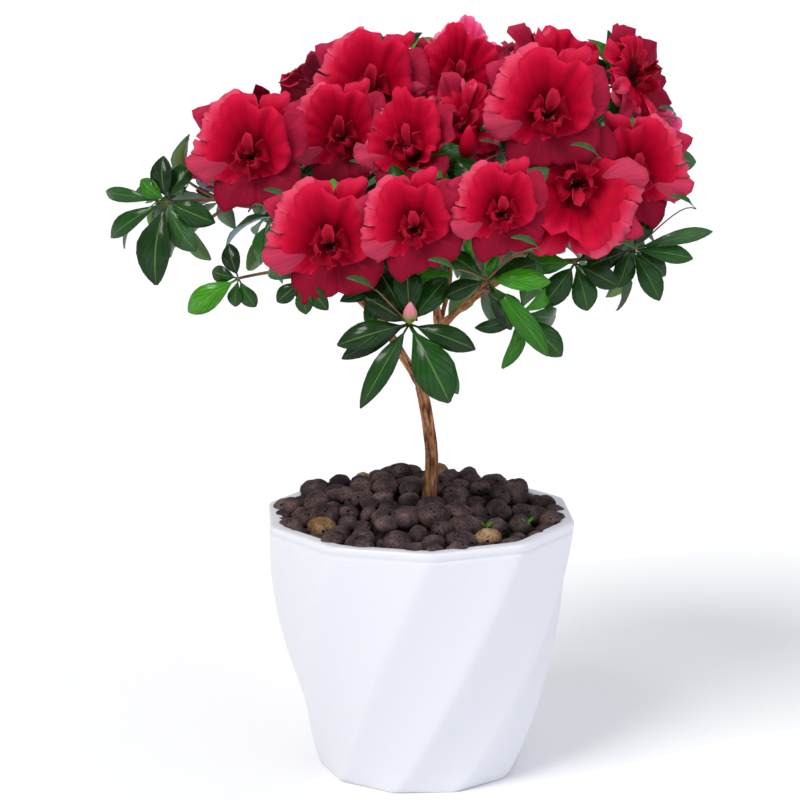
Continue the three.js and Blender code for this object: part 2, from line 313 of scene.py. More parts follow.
# %% Profile of the wall, and the turned shape
POT_BULGE = 1.5
POT_WALL = 3 * MM
POT_FLOOR = 4 * MM
FOOT_ROUND = 1.2 * MM
LIP_WIDTH = 5.5 * MM
LIP_ROUND = 1.3 * MM
LIP_TOP = 4.5 * MM  # how far below the rim the wall ends and the lip begins
LIP_STEP = ((0.6, 4.0), (0.1, 3.4))  # the step there: millimetres in from the reach and down
AXIS_GAP = 1 * MM  # radius of the small flat where a profile meets the lathe's axis
ARC_STEPS = 5
ROUND_STEPS = 240
rim_reach = max(v.co.xy.length for v in nodes["pot"].data.vertices)
foot_reach = max(v.co.xy.length for v in nodes["pot"].data.vertices if v.co.z < 2 * MM)


def wall_reach(z):
    """Reach of the pot's corners at a height: the wall swells as it rises."""
    rise = min(max(z / rim_height, 0), 1)
    return foot_reach + (rim_reach - foot_reach) * (1 - (1 - rise) ** POT_BULGE)


def round_edge(reach, z, radius, start, end):
    """Points of an arc round a place in the profile, between two angles in degrees."""
    angles = [math.radians(start + (end - start) * i / ARC_STEPS) for i in range(ARC_STEPS + 1)]
    return [(reach + radius * math.cos(a), z + radius * math.sin(a)) for a in angles]


def pot_profile():
    """Reach and height from the middle of the underside, up the wall and down inside."""
    outer = [(AXIS_GAP, 0), (foot_reach * 0.5, 0)]
    outer += round_edge(foot_reach - FOOT_ROUND, FOOT_ROUND, FOOT_ROUND, -90, -20)
    outer += [(wall_reach(z), z) for z in np.linspace(FOOT_ROUND * 1.6, rim_height - LIP_TOP, 60)]
    # A shallow step sets the lip off from the wall.
    outer += [(rim_reach - in_by * MM, rim_height - down_by * MM) for in_by, down_by in LIP_STEP]
    lip = round_edge(rim_reach - LIP_ROUND, rim_height - LIP_ROUND, LIP_ROUND, 0, 90)
    lip += round_edge(rim_reach - LIP_WIDTH, rim_height - LIP_ROUND, LIP_ROUND, 90, 180)
    inner = [(rim_reach - LIP_WIDTH - LIP_ROUND, rim_height - LIP_STEP[0][1] * MM)]
    inner_heights = np.linspace(rim_height - 2 * LIP_TOP, POT_FLOOR + 2 * MM, 24)
    inner += [(wall_reach(z) - POT_WALL, z) for z in inner_heights]
    return outer + lip + inner + [(foot_reach * 0.5, POT_FLOOR), (AXIS_GAP, POT_FLOOR)]


def turned_shape(name, profile, steps=ROUND_STEPS):
    """A closed shape turned on a lathe: rings of points, and a cap at either end."""
    rings = np.array(profile)
    angles = np.arange(steps) * 2 * math.pi / steps
    points = np.stack([
        np.outer(rings[:, 0], np.cos(angles)),
        np.outer(rings[:, 0], np.sin(angles)),
        np.repeat(rings[:, 1:2], steps, axis=1),
    ], axis=-1).reshape(-1, 3)
    faces = []
    for ring in range(len(rings) - 1):
        for i in range(steps):
            a, b = ring * steps + i, ring * steps + (i + 1) % steps
            faces.append((a, b, b + steps, a + steps))
    last = (len(rings) - 1) * steps
    faces += [tuple(range(steps))[::-1], tuple(range(last, last + steps))]
    mesh = bpy.data.meshes.new(name)
    mesh.from_pydata(points.tolist(), [], faces)
    mesh.shade_smooth()
    return bpy.data.objects.new(name, mesh)


print("pot profile:", len(pot_profile()), "points, out to", round(rim_reach / MM, 1), "mm")


# %% [markdown]
# ### Its plastic
# Polypropylene from a polished mould is smooth and only half glossy, and a little
# light enters it, so its shadows stay soft. A faint blue keeps the white cool. Handling
# leaves a few dull smears, which only change the gloss.

# %% Plastic and pot
plastic, tree, shader = new_material("moulded white polypropylene", "#E2E3EA", 0.3, {
    "IOR": 1.49, "Subsurface Weight": 0.1, "Subsurface Scale": 4 * MM,
})
SMEAR_WIDTH = 26 * MM
place = add_node(tree, "ShaderNodeTexCoord").outputs["Object"]
smears = add_node(tree, "ShaderNodeTexNoise", {"Vector": place, "Scale": 1 / SMEAR_WIDTH, "Detail": 3.0})
dullness = add_node(tree, "ShaderNodeMapRange", {
    "Value": smears.outputs[0], "From Min": 0.35, "From Max": 0.7, "To Min": 0.28, "To Max": 0.33,
})
tree.links.new(dullness.outputs[0], shader.inputs["Roughness"])

pot = facetted("pot_shell", turned_shape("turned pot", pot_profile()), plastic)
hand_over(pot, plastic, "pot_plastic", "pot")


# %% [markdown]
# ## Clay pebbles
# The pebbles are expanded clay: balls of clay puffed up in a kiln, 8 to 16 mm across,
# with a dull brown skin pierced by gas pores. A few shapes are made once, each with
# its own lumps and pits. Places come from letting discs push each other apart until
# they lie side by side, and a node tree puts a turned pebble on each place.

# %% Tree that sets one of several shapes on each point
def scatter_tree():
    """The tree that sets one of a collection's shapes on each point of a mesh."""
    tree, given, result = new_tree("set shapes on points", {"Shapes": "Collection", "Material": "Material"})
    shapes = add_node(tree, "GeometryNodeCollectionInfo", {
        "Collection": given.outputs["Shapes"], "Separate Children": True, "Reset Children": True,
    })
    shape = add_node(tree, "GeometryNodeInputNamedAttribute", {"Name": "shape"}, data_type="INT")
    turn = add_node(tree, "GeometryNodeInputNamedAttribute", {"Name": "turn"}, data_type="FLOAT_VECTOR")
    size = add_node(tree, "GeometryNodeInputNamedAttribute", {"Name": "size"}, data_type="FLOAT_VECTOR")
    rotation = add_node(tree, "FunctionNodeEulerToRotation", {0: turn.outputs[0]})
    placed = add_node(tree, "GeometryNodeInstanceOnPoints", {
        "Points": given.outputs["Geometry"], "Instance": shapes.outputs[0],
        "Pick Instance": True, "Instance Index": shape.outputs[0],
        "Rotation": rotation.outputs[0], "Scale": size.outputs[0],
    })
    real = add_node(tree, "GeometryNodeRealizeInstances", {0: placed.outputs[0]})
    coated = add_node(tree, "GeometryNodeSetMaterial", {
        "Geometry": real.outputs[0], "Material": given.outputs["Material"],
    })
    tree.links.new(coated.outputs[0], result.inputs[0])
    return tree


set_on_points = scatter_tree()


def scatter(name, shapes, places, material):
    """Sets shapes on places, each a point, a rotation, a size and a shape's number."""
    carrier_mesh = bpy.data.meshes.new(name)
    carrier_mesh.from_pydata([tuple(p[0]) for p in places], [], [])
    set_attribute(carrier_mesh, "turn", "FLOAT_VECTOR", [tuple(p[1].to_euler()) for p in places])
    set_attribute(carrier_mesh, "size", "FLOAT_VECTOR", [tuple(p[2]) for p in places])
    set_attribute(carrier_mesh, "shape", "INT", [p[3] for p in places])
    kinds = bpy.data.collections.new(name + " shapes")
    for number, shape in enumerate(shapes):
        shape.name = f"{name}_{number:02d}"
        kinds.objects.link(shape)
    carrier = bpy.data.objects.new(name + " points", carrier_mesh)
    mesh = run_tree(carrier, set_on_points, {"Shapes": kinds, "Material": material})
    mesh.shade_smooth()
    for shape in shapes:
        kinds.objects.unlink(shape)
    bpy.data.collections.remove(kinds)
    return bpy.data.objects.new(name, mesh)


print("scatter tree:", len(set_on_points.nodes), "nodes")

# %% Shapes of the pebbles
PEBBLE_SHAPES = 14  # the first half are fine and lie on top, the others are coarse and below
PORES = 12


def pebble_shape(seed, subdivisions):
    """A ball of unit radius with lumps, a squashed outline and small round pores."""
    dice = random.Random(seed)
    bpy.ops.mesh.primitive_ico_sphere_add(subdivisions=subdivisions, radius=1)
    ball = bpy.context.object
    shift = Vector((dice.random(), dice.random(), dice.random())) * 40
    stretch = (1.06, dice.uniform(0.68, 0.92), dice.uniform(0.66, 0.88))
    pores = [Vector([dice.gauss(0, 1) for _ in range(3)]).normalized() for _ in range(PORES)]
    widths = [dice.uniform(0.1, 0.2) for _ in range(PORES)]
    for vertex in ball.data.vertices:
        way = vertex.co.normalized()
        lump = 0.15 * noise.noise(way * 1.3 + shift) + 0.06 * noise.noise(way * 3.4 + shift)
        pit = sum(0.1 * math.exp(-((way - p).length / w) ** 2) for p, w in zip(pores, widths))
        reach = 1 + lump - min(pit, 0.13)
        vertex.co = [a * b * reach for a, b in zip(way, stretch)]
    bpy.context.collection.objects.unlink(ball)
    return ball


PEBBLE_RADII = (4.4 * MM, 7.6 * MM)
HEAP_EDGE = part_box("pebble_bed")[1].z - 9.5 * MM
HEAP_MOUND = 11.5 * MM
BACK_HEAP = 6 * MM  # how much higher the heap lies behind the stem
SETTLING_STEPS = 240
STEM_FOOT = np.array([4 * MM, 0.0])
# Each layer: how many pebbles, the dice's seed, how deep it lies, how far it stays from
# the stem, and its first shape.
PEBBLE_LAYERS = (
    (106, 3, 0.0, 4.5 * MM, 0),
    (118, 4, 8.5 * MM, 3.5 * MM, PEBBLE_SHAPES // 2),
)


def settled_discs(count, seed, radii, limit, kept_clear):
    """Places in a plane where discs lie side by side inside a ring, round the stem."""
    dice = np.random.default_rng(seed)
    radius = dice.uniform(*radii, count)
    angle = dice.uniform(0, 2 * math.pi, count)
    reach = np.sqrt(dice.uniform(0, 1, count)) * limit
    place = np.stack([reach * np.cos(angle), reach * np.sin(angle)], axis=1)
    for _ in range(SETTLING_STEPS):
        apart = place[:, None] - place[None]
        gap = np.linalg.norm(apart, axis=2) + np.eye(count)
        overlap = np.clip((radius[:, None] + radius[None]) - gap, 0, None)
        np.fill_diagonal(overlap, 0)
        place += 0.3 * (apart / gap[..., None] * overlap[..., None]).sum(axis=1)
        from_stem = place - STEM_FOOT
        clear = np.linalg.norm(from_stem, axis=1)
        short = np.clip(kept_clear + radius - clear, 0, None)
        place += from_stem / clear[:, None] * short[:, None]
        out = np.linalg.norm(place, axis=1)
        past = np.clip(out - (limit - radius * 0.9), 0, None)
        place -= place / out[:, None] * past[:, None]
    return place, radius


def pebble_places():
    """Places of all pebbles, on a mound that rises towards the middle and the back."""
    dice = random.Random(11)
    inside = (wall_reach(HEAP_EDGE) - POT_WALL) * math.cos(math.pi / POT_SIDES) + 0.8 * MM
    found = []
    for count, seed, depth, clear, first_shape in PEBBLE_LAYERS:
        places, radii = settled_discs(count, seed, PEBBLE_RADII, inside, clear)
        for (x, y), radius in zip(places, radii):
            share = math.hypot(x, y) / inside
            z = HEAP_EDGE + HEAP_MOUND * (1 - share ** 2) - depth - radius * 0.3
            z += dice.uniform(-2.2, 3.0) * MM
            z += BACK_HEAP * min(max(2 * y / inside, 0), 1) * (1 - share ** 4)
            turn = Matrix.Rotation(dice.uniform(0, 6.28), 3, "Z")
            turn = turn @ Matrix.Rotation(dice.uniform(-0.5, 0.5), 3, "X")
            turn = turn @ Matrix.Rotation(dice.uniform(0, 6.28), 3, "X")
            shape = first_shape + dice.randrange(PEBBLE_SHAPES // 2)
            found.append(((x, y, z), turn, (radius * 1.06,) * 3, shape))
    return found


print("pebbles in each layer:", [count for count, *_ in PEBBLE_LAYERS])


# %% [markdown]
# ### Fired clay
# The kiln leaves an unglazed skin: no gloss at all, and a colour between chocolate
# and plum that changes from pebble to pebble with the heat. The gas pores are holes
# 1 to 2 mm across, painted near black: partly the dark core seen through them, partly
# painted shade inside the holes. A few pebbles were fired less and stay tan.

# %% Clay and pebbles
def clay_paint(name, tones):
    """Unglazed clay with patches of its tones, fine grit, and pores painted black as dark core and painted
    shade.
    """
    material, tree, shader = new_material(name, tones[2][1], 0.92, {"Specular IOR Level": 0.2})
    place = add_node(tree, "ShaderNodeTexCoord").outputs["Object"]
    patches = add_node(tree, "ShaderNodeTexNoise", {"Vector": place, "Scale": 1 / (9 * MM), "Detail": 4.0})
    skin = add_node(tree, "ShaderNodeValToRGB", {0: patches.outputs[0]}, tones)
    grit = add_node(tree, "ShaderNodeTexNoise", {"Vector": place, "Scale": 1 / (0.8 * MM), "Detail": 3.0})
    grit_tone = add_node(tree, "ShaderNodeValToRGB", {0: grit.outputs[0]}, [
        (0.32, "#767676"), (0.5, "#F0F0F0"), (0.72, "#FFFFFF"),
    ])
    pores = add_node(tree, "ShaderNodeTexVoronoi", {"Vector": place, "Scale": 1 / (5.5 * MM)})
    # Pores painted near black: partly the dark core, partly painted shade in the holes.
    pore_core_and_shade = add_node(tree, "ShaderNodeValToRGB", {0: pores.outputs["Distance"]}, [
        (0.10, "#0A0808"), (0.17, "#FFFFFF"),
    ])
    mixed = add_node(tree, "ShaderNodeMix", {0: 1.0, 6: skin.outputs[0], 7: grit_tone.outputs[0]},
                     data_type="RGBA", blend_type="MULTIPLY")
    mixed = add_node(tree, "ShaderNodeMix", {0: 1.0, 6: mixed.outputs[2], 7: pore_core_and_shade.outputs[0]},
                     data_type="RGBA", blend_type="MULTIPLY")
    tree.links.new(mixed.outputs[2], shader.inputs["Base Color"])
    relief = add_node(tree, "ShaderNodeBump", {
        "Height": grit.outputs[0], "Strength": 0.6, "Distance": 0.5 * MM,
    })
    relief = add_node(tree, "ShaderNodeBump", {
        "Height": pore_core_and_shade.outputs[0], "Strength": 0.6, "Distance": 0.8 * MM, "Normal": relief.outputs[0],
    })
    tree.links.new(relief.outputs[0], shader.inputs["Normal"])
    return material


dark_clay = clay_paint("expanded clay, fired dark", [
    (0.30, "#2C2224"), (0.43, "#443537"), (0.54, "#5A4849"), (0.66, "#735B57"), (0.8, "#8A6C62"),
])
tan_clay = clay_paint("expanded clay, fired pale", [
    (0.30, "#6A4C30"), (0.45, "#927050"), (0.58, "#B08E66"), (0.75, "#C8AA80"),
])
TAN_SPOTS = ((-51, -20), (27, -43), (12, 46), (-30, 38))  # where pale pebbles lie, in mm

pebble_shapes = [pebble_shape(n, 3 if n < PEBBLE_SHAPES // 2 else 2) for n in range(PEBBLE_SHAPES)]
places = pebble_places()
top_layer = [p for p in places if p[3] < PEBBLE_SHAPES // 2]
pale = [min(top_layer, key=lambda p: math.hypot(p[0][0] - x * MM, p[0][1] - y * MM)) for x, y in TAN_SPOTS]
pale_shapes = [pebble_shape(n, 3) for n in range(PEBBLE_SHAPES // 2)]
pebbles = scatter("pebbles", pebble_shapes, [p for p in places if p not in pale], dark_clay)
hand_over(pebbles, dark_clay, "clay_pebbles", "pebble_bed")
pale_pebbles = scatter("pale_pebbles", pale_shapes, pale, tan_clay)
hand_over(pale_pebbles, tan_clay, "clay_pebbles", "pebble_bed")

# %% [markdown]
# ### What lies under the pebbles
# Between the pebbles shows a little dark, damp compost. It is one closed mound that
# fills the pot below them.

# %% Compost
compost_paint, tree, shader = new_material("damp peat compost", "#1C1412", 0.95)
place = add_node(tree, "ShaderNodeTexCoord").outputs["Object"]
crumbs = add_node(tree, "ShaderNodeTexNoise", {"Vector": place, "Scale": 1 / (2 * MM), "Detail": 4.0})
crumb_tone = add_node(tree, "ShaderNodeValToRGB", {0: crumbs.outputs[0]}, [
    (0.35, "#0F0B0A"), (0.65, "#2A1D18"),
])
tree.links.new(crumb_tone.outputs[0], shader.inputs["Base Color"])


COMPOST_DEPTH = 7 * MM  # below the pebbles' middles
COMPOST_FOOT = POT_FLOOR + 1 * MM
COMPOST_GAP = 0.4 * MM  # between it and the wall, so that the two never fight


def compost_profile():
    """Up along the inside of the wall, then over the mound to its top."""
    top = HEAP_EDGE - COMPOST_DEPTH
    heights = np.linspace(COMPOST_FOOT, top - 1 * MM, 12)
    inside = [(wall_reach(z) - POT_WALL - COMPOST_GAP, z) for z in heights]
    edge = inside[-1][0]
    heap = [(edge * s, top + HEAP_MOUND * (1 - s * s)) for s in (0.95, 0.75, 0.5, 0.25)]
    return [(AXIS_GAP, COMPOST_FOOT)] + inside + heap + [(AXIS_GAP, top + HEAP_MOUND)]


compost = facetted("compost", turned_shape("turned compost", compost_profile(), 80), compost_paint)
hand_over(compost, compost_paint, "clay_pebbles", "pebble_bed")


# %% [markdown]
# ## Stem and boughs
# The CAD limbs give each limb's course and thickness. Planes across a limb find its
# centre line, which is then smoothed and run a little way into the limb below, so
# that the forks close up. All tubes are fused by a voxel remesh, and the bark's
# relief is raised on the fused skin.

# %% Read the limbs' centre lines
STATIONS = 8
ROOT_OVERLAP = 5 * MM
LIMB_STEP = 1.2 * MM


def smooth_line(points, count):
    """Rows at even steps along a smooth curve. The first three columns are the place."""
    points = np.asarray(points, float)
    knots = np.concatenate([[0], np.cumsum(np.linalg.norm(np.diff(points[:, :3], axis=0), axis=1))])
    where = np.linspace(0, knots[-1], count)
    slopes = np.gradient(points, knots, axis=0)
    spans = np.clip(np.searchsorted(knots, where, side="right") - 1, 0, len(knots) - 2)
    width = (knots[spans + 1] - knots[spans])[:, None]
    t = ((where - knots[spans])[:, None]) / width
    return (
        (2 * t**3 - 3 * t**2 + 1) * points[spans] + (t**3 - 2 * t**2 + t) * width * slopes[spans]
        + (3 * t**2 - 2 * t**3) * points[spans + 1] + (t**3 - t**2) * width * slopes[spans + 1]
    )


def centre_line(name):
    """Rows of x, y, z and radius along a limb, from its lower end to its upper end."""
    mesh = nodes[name].data
    points = np.array([v.co for v in mesh.vertices])
    edges = np.array([e.vertices for e in mesh.edges])
    middle = points.mean(axis=0)
    axis = np.linalg.svd(points - middle, full_matrices=False)[2][0]
    axis *= math.copysign(1, axis[2])
    along = (points - middle) @ axis
    rows = []
    for share in np.linspace(0.03, 0.97, STATIONS):
        height = along.min() + share * (along.max() - along.min())
        a, b = along[edges[:, 0]] - height, along[edges[:, 1]] - height
        cut = a * b < 0
        part = (a[cut] / (a[cut] - b[cut]))[:, None]
        ring = points[edges[cut, 0]] * (1 - part) + points[edges[cut, 1]] * part
        centre = (ring.min(axis=0) + ring.max(axis=0)) / 2
        offsets = ring - centre
        radius = np.linalg.norm(offsets, axis=1).min()
        rows.append([*centre, radius])
    return np.array(rows)


def limb_line(name):
    """A limb's smooth centre line, run on into the limb that carries it."""
    rows = centre_line(name)
    if name != "stem":
        back = rows[0, :3] - rows[1, :3]
        back *= ROOT_OVERLAP / np.linalg.norm(back)
        rows = np.concatenate([[[*(rows[0, :3] + back), rows[0, 3]]], rows])
    else:
        rows[0, 2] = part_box("stem")[0].z
    length = np.linalg.norm(np.diff(rows[:, :3], axis=0), axis=1).sum()
    return smooth_line(rows, int(length / LIMB_STEP) + 1)


limb_lines = {name: limb_line(name) for name in LIMB_NODES}
print({name: round(float(line[:, 3].mean() / MM), 2) for name, line in limb_lines.items()})


# %% Tubes along lines
def frames_along(line):
    """Two directions across a line at each of its places, turning as little as they can."""
    ways = np.gradient(line[:, :3], axis=0)
    ways /= np.linalg.norm(ways, axis=1)[:, None]
    side = np.cross(ways[0], (0.3, 0.9, 0.1))
    sides = []
    for way in ways:
        side = side - way * (side @ way)
        side = side / np.linalg.norm(side)
        sides.append(side)
    sides = np.array(sides)
    return sides, np.cross(ways, sides)


def tube(line, around):
    """A closed tube along rows of x, y, z and radius."""
    sides, others = frames_along(line)
    angles = np.arange(around) * 2 * math.pi / around
    ring = np.cos(angles)[None, :, None] * sides[:, None] + np.sin(angles)[None, :, None] * others[:, None]
    points = (line[:, None, :3] + ring * line[:, None, 3:4]).reshape(-1, 3)
    faces = []
    for row in range(len(line) - 1):
        for i in range(around):
            a, b = row * around + i, row * around + (i + 1) % around
            faces.append((a, b, b + around, a + around))
    # A fan of triangles round a middle point closes either end.
    last = (len(line) - 1) * around
    hubs = np.array([line[0, :3], line[-1, :3]])
    first_hub = len(points)
    for i in range(around):
        j = (i + 1) % around
        faces.append((first_hub, j, i))
        faces.append((first_hub + 1, last + i, last + j))
    return np.concatenate([points, hubs]), faces


def mesh_of_tubes(name, tubes):
    """One mesh object that holds several tubes."""
    points, faces, start = [], [], 0
    for tube_points, tube_faces in tubes:
        points.append(tube_points)
        faces += [tuple(i + start for i in face) for face in tube_faces]
        start += len(tube_points)
    mesh = bpy.data.meshes.new(name)
    mesh.from_pydata(np.concatenate(points).tolist(), [], faces)
    mesh.shade_smooth()
    return bpy.data.objects.new(name, mesh)


# %% Fuse the limbs and raise the bark
BARK_VOXEL = 0.42 * MM
BARK_RELIEF = 0.32 * MM
KNUCKLE = 0.6 * MM  # how much a limb swells where it starts


def swollen(name, line):
    """The line with the swelling that a limb has at the fork where it starts."""
    grown = line.copy()
    if name != "stem":
        length = np.arange(len(line)) * LIMB_STEP
        grown[:, 3] += KNUCKLE * np.exp(-((length - ROOT_OVERLAP) / (4 * MM)) ** 2)
    return grown


raw_limbs = mesh_of_tubes("limbs", [tube(swollen(n, line), 14) for n, line in limb_lines.items()])
bpy.context.collection.objects.link(raw_limbs)
fuse = raw_limbs.modifiers.new("fuse", "REMESH")
fuse.mode = "VOXEL"
fuse.voxel_size = BARK_VOXEL
soften = raw_limbs.modifiers.new("soften", "SMOOTH")
soften.iterations = 6
evaluated = raw_limbs.evaluated_get(bpy.context.evaluated_depsgraph_get())
bark_mesh = bpy.data.meshes.new_from_object(evaluated)
bpy.data.objects.remove(raw_limbs)

# Every point of the bark learns how far along and round its limb it lies.
all_rows = np.concatenate(list(limb_lines.values()))
all_frames = [frames_along(line) for line in limb_lines.values()]
all_sides = np.concatenate([f[0] for f in all_frames])
all_others = np.concatenate([f[1] for f in all_frames])
all_lengths = np.concatenate([
    np.arange(len(line)) * LIMB_STEP + 0.31 * number for number, line in enumerate(limb_lines.values())
])
limb_tree = kdtree.KDTree(len(all_rows))
for index, row in enumerate(all_rows):
    limb_tree.insert(row[:3], index)
limb_tree.balance()

count = len(bark_mesh.vertices)
places = np.empty(count * 3)
normals = np.empty(count * 3)
bark_mesh.vertices.foreach_get("co", places)
bark_mesh.vertices.foreach_get("normal", normals)
places, normals = places.reshape(-1, 3), normals.reshape(-1, 3)
nearest = np.array([limb_tree.find(p)[1] for p in places])
offset = places - all_rows[nearest, :3]
along_side = (offset * all_sides[nearest]).sum(axis=1)
along_other = (offset * all_others[nearest]).sum(axis=1)
bark_place = np.stack([along_side, along_other, all_lengths[nearest]], axis=1)
relief = np.array([
    noise.noise(Vector((x * 900, y * 900, z * 75))) + 0.6 * noise.noise(Vector((x * 2100, y * 2100, z * 190)))
    + 0.5 * noise.noise(Vector((x * 200, y * 200, z * 120)))
    for x, y, z in bark_place
])
thickness = np.clip(all_rows[nearest, 3] / (3 * MM), 0.3, 1)
places += normals * (BARK_RELIEF * relief * thickness)[:, None]
places[:, 2] = np.maximum(places[:, 2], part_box("stem")[0].z)
bark_mesh.vertices.foreach_set("co", places.ravel())
set_attribute(bark_mesh, "bark_place", "FLOAT_VECTOR", bark_place)
bark_mesh.shade_smooth()
print("bark:", count, "points")

# %% [markdown]
# ### Bark
# A young azalea's bark is thin and papery. It splits lengthwise and comes off in
# strips: tan and reddish where it is fresh, greenish brown and darker near the
# ground, where it stays damp. The pattern follows each limb, because it is laid out
# by the stored distance along and round it.

# %% Bark and limbs
bark_paint, tree, shader = new_material("papery azalea bark", "#A9704E", 0.8, {"Specular IOR Level": 0.25})
course = add_node(tree, "ShaderNodeAttribute", attribute_name="bark_place").outputs["Vector"]
stretched = add_node(tree, "ShaderNodeVectorMath", {0: course, 1: (1, 1, 0.2)}, operation="MULTIPLY")
strips = add_node(tree, "ShaderNodeTexNoise", {
    "Vector": stretched.outputs[0], "Scale": 1 / (1.3 * MM), "Detail": 5.0, "Roughness": 0.6,
})
fresh = add_node(tree, "ShaderNodeValToRGB", {0: strips.outputs[0]}, [
    (0.34, "#3A2016"), (0.43, "#7A4A32"), (0.52, "#A46C4A"), (0.61, "#BE8862"), (0.72, "#DCB28E"),
])
damp = add_node(tree, "ShaderNodeValToRGB", {0: strips.outputs[0]}, [
    (0.34, "#1E140C"), (0.44, "#4E3620"), (0.54, "#79542F"), (0.62, "#8A6A3E"), (0.74, "#A89264"),
])
place = add_node(tree, "ShaderNodeTexCoord").outputs["Object"]
height = add_node(tree, "ShaderNodeSeparateXYZ", {0: place}).outputs["Z"]
low_z, high_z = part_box("stem")[0].z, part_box("stem")[1].z
dryness = add_node(tree, "ShaderNodeMapRange", {
    "Value": height, "From Min": low_z, "From Max": low_z * 0.3 + high_z * 0.7,
})
colour = add_node(tree, "ShaderNodeMix", {0: dryness.outputs[0], 6: damp.outputs[0], 7: fresh.outputs[0]},
                  data_type="RGBA")
tree.links.new(colour.outputs[2], shader.inputs["Base Color"])
relief_node = add_node(tree, "ShaderNodeBump", {
    "Height": strips.outputs[0], "Strength": 0.6, "Distance": 0.5 * MM,
})
tree.links.new(relief_node.outputs[0], shader.inputs["Normal"])
limbs = bpy.data.objects.new("stem_and_boughs", bark_mesh)
hand_over(limbs, bark_paint, "bark", *LIMB_NODES)

# %% [markdown]
# ## Where the shoots end
# Azalea shoots end in a whorl: a rosette of leaves round the tip, and on a flowering
# shoot a bloom sits in its middle. So the whole crown comes down to a list of tips.
# Each tip has a place, and an axis that it points along. The flower nodes give one
# tip each. In a leaf node a few tips are listed one by one, and seeded dice add the rest.

# %% Tips of the flowering shoots
CROWN_MIDDLE = Vector((2, 4, 262)) * MM
CROWN_WEIGHTS = (0.6, 1.0, 0.75)  # the crown is wider than it is deep or tall
FRONT_LINE = 14 * MM  # blooms in front of this turn their faces to the front
FRONT_SHARE = 0.72  # how far they do
FRONT = Vector((-0.03, -0.98, 0.2))
shoot_dice = random.Random(5)


def outward(place):
    """The way from the crown's middle to a place, evened out for the crown's shape."""
    return Vector(a * w for a, w in zip(place - CROWN_MIDDLE, CROWN_WEIGHTS)).normalized()


# Blooms that face neither straight out nor to the front.
AXES = {
    "flowers_centre_front": (-0.4, -0.65, 0.65), "flowers_centre_right": (0.2, -0.75, 0.55),
    "flowers_top_right": (0.25, -0.75, 0.55), "flowers_right_upper": (0.6, -0.7, 0.3),
    "flowers_back_upper_centre": (0.1, -0.55, 0.85), "flowers_back_right": (0.5, -0.75, 0.5),
}


def bloom_axis(name, place):
    """The way a bloom faces: its own, or outward and at the front mostly to the front."""
    if name in AXES:
        return Vector(AXES[name]).normalized()
    share = FRONT_SHARE if place.y < FRONT_LINE else 0.0
    return (outward(place) * (1 - share) + FRONT * share).normalized()


blooms = []
for name in FLOWER_NODES:
    middle, reach = middle_and_reach(name)
    blooms.append({"node": name, "place": middle, "axis": bloom_axis(name, middle), "reach": reach})
print(len(blooms), "flowering tips")

# %% [markdown]
# The whorls that show most are set out one by one, seen from the front. Each has its
# place in its node's box, from 0 to 1 along x, y and z, the way it faces, and its
# leaves: the way a leaf points in degrees from the right, its length and width in
# millimetres, its lift towards the viewer, and its shade, from dark to bright.

# %% Whorls set out one by one
FACING_FRONT = (0.0, -0.95, 0.3)
SET_WHORLS = [
    ("leaves_front_low", (0.57, 0.30, 0.535), FACING_FRONT, [
        (196, 33, 12, 8, 1), (207, 34, 9, -4, 0), (240, 43, 10, 6, 2), (297, 39, 19, 10, 3),
        (338, 31, 11, 6, 1), (307, 40, 9, -12, 4), (120, 31, 13, 4, 0), (92, 28, 13, 12, 1),
        (52, 27, 12, -2, 2), (150, 24, 11, 16, 0),
    ]),
    ("leaves_front_right_low", (0.38, 0.25, 0.545), FACING_FRONT, [
        (310, 43, 10, 4, 6), (298, 25, 9, -10, 0), (357, 28, 10, 8, 7), (78, 14, 5, 30, 7),
        (65, 12, 5, 40, 6), (146, 21, 9, 10, 3), (20, 24, 10, -5, 2), (200, 20, 9, -6, 1),
    ]),
    ("leaves_left_tip", (0.42, 0.30, 0.62), (-0.35, -0.9, 0.2), [
        (176, 34, 7, 2, 4), (213, 33, 9, 4, 3), (146, 15, 9, 20, 6), (266, 38, 17, 6, 1),
        (98, 20, 11, 12, 0), (340, 24, 12, -6, 2), (60, 20, 10, -8, 1), (300, 26, 12, -10, 5),
    ]),
    ("leaves_left_low", (0.62, 0.3, 0.62), (-0.2, -0.95, 0.1), [
        (213, 29, 12, 4, 7), (262, 13, 7, 0, 3), (300, 15, 8, -4, 4), (170, 14, 8, -8, 2),
        (110, 16, 9, 0, 0),
    ]),
    ("leaves_right_tip", (0.30, 0.3, 0.62), (0.05, -0.95, 0.3), [
        (12, 38, 7, 6, 5), (352, 28, 9, 10, 4), (298, 26, 11, 8, 3), (250, 18, 10, 4, 2),
        (60, 18, 9, 0, 1), (200, 22, 10, -8, 0), (325, 20, 10, -6, 2),
    ]),
    ("leaves_right_low", (0.45, 0.3, 0.60), (0.1, -0.95, 0.15), [
        (232, 25, 12, 6, 2), (285, 22, 12, 4, 3), (330, 22, 10, 6, 1), (180, 22, 10, 0, 6),
        (30, 20, 9, 0, 0),
    ]),
    ("leaves_front_left_low", (0.50, 0.3, 0.62), (-0.1, -0.95, 0.15), [
        (275, 15, 8, 4, 3), (310, 17, 8, 0, 2), (220, 15, 8, 2, 1), (20, 22, 10, -45, 4),
        (160, 22, 10, -30, 5), (90, 18, 9, -50, 0),
    ]),
]
print(len(SET_WHORLS), "whorls,", sum(len(w[3]) for w in SET_WHORLS), "leaves set by hand")

# %% Tips and leaves of the other whorls
MORE_TIPS = {"leaves_front_low": 1, "leaves_front_right_low": 1}  # beside those listed one by one
TIPS_PER_MASS = 5
TIP_SPREAD = 0.34  # of a mass's size
TIP_GAP = 15 * MM
TRIES = 30
leaf_rows = []  # place, direction, upper side, length, width and shade of every leaf
leaf_tips = []  # place and axis of every leafy shoot


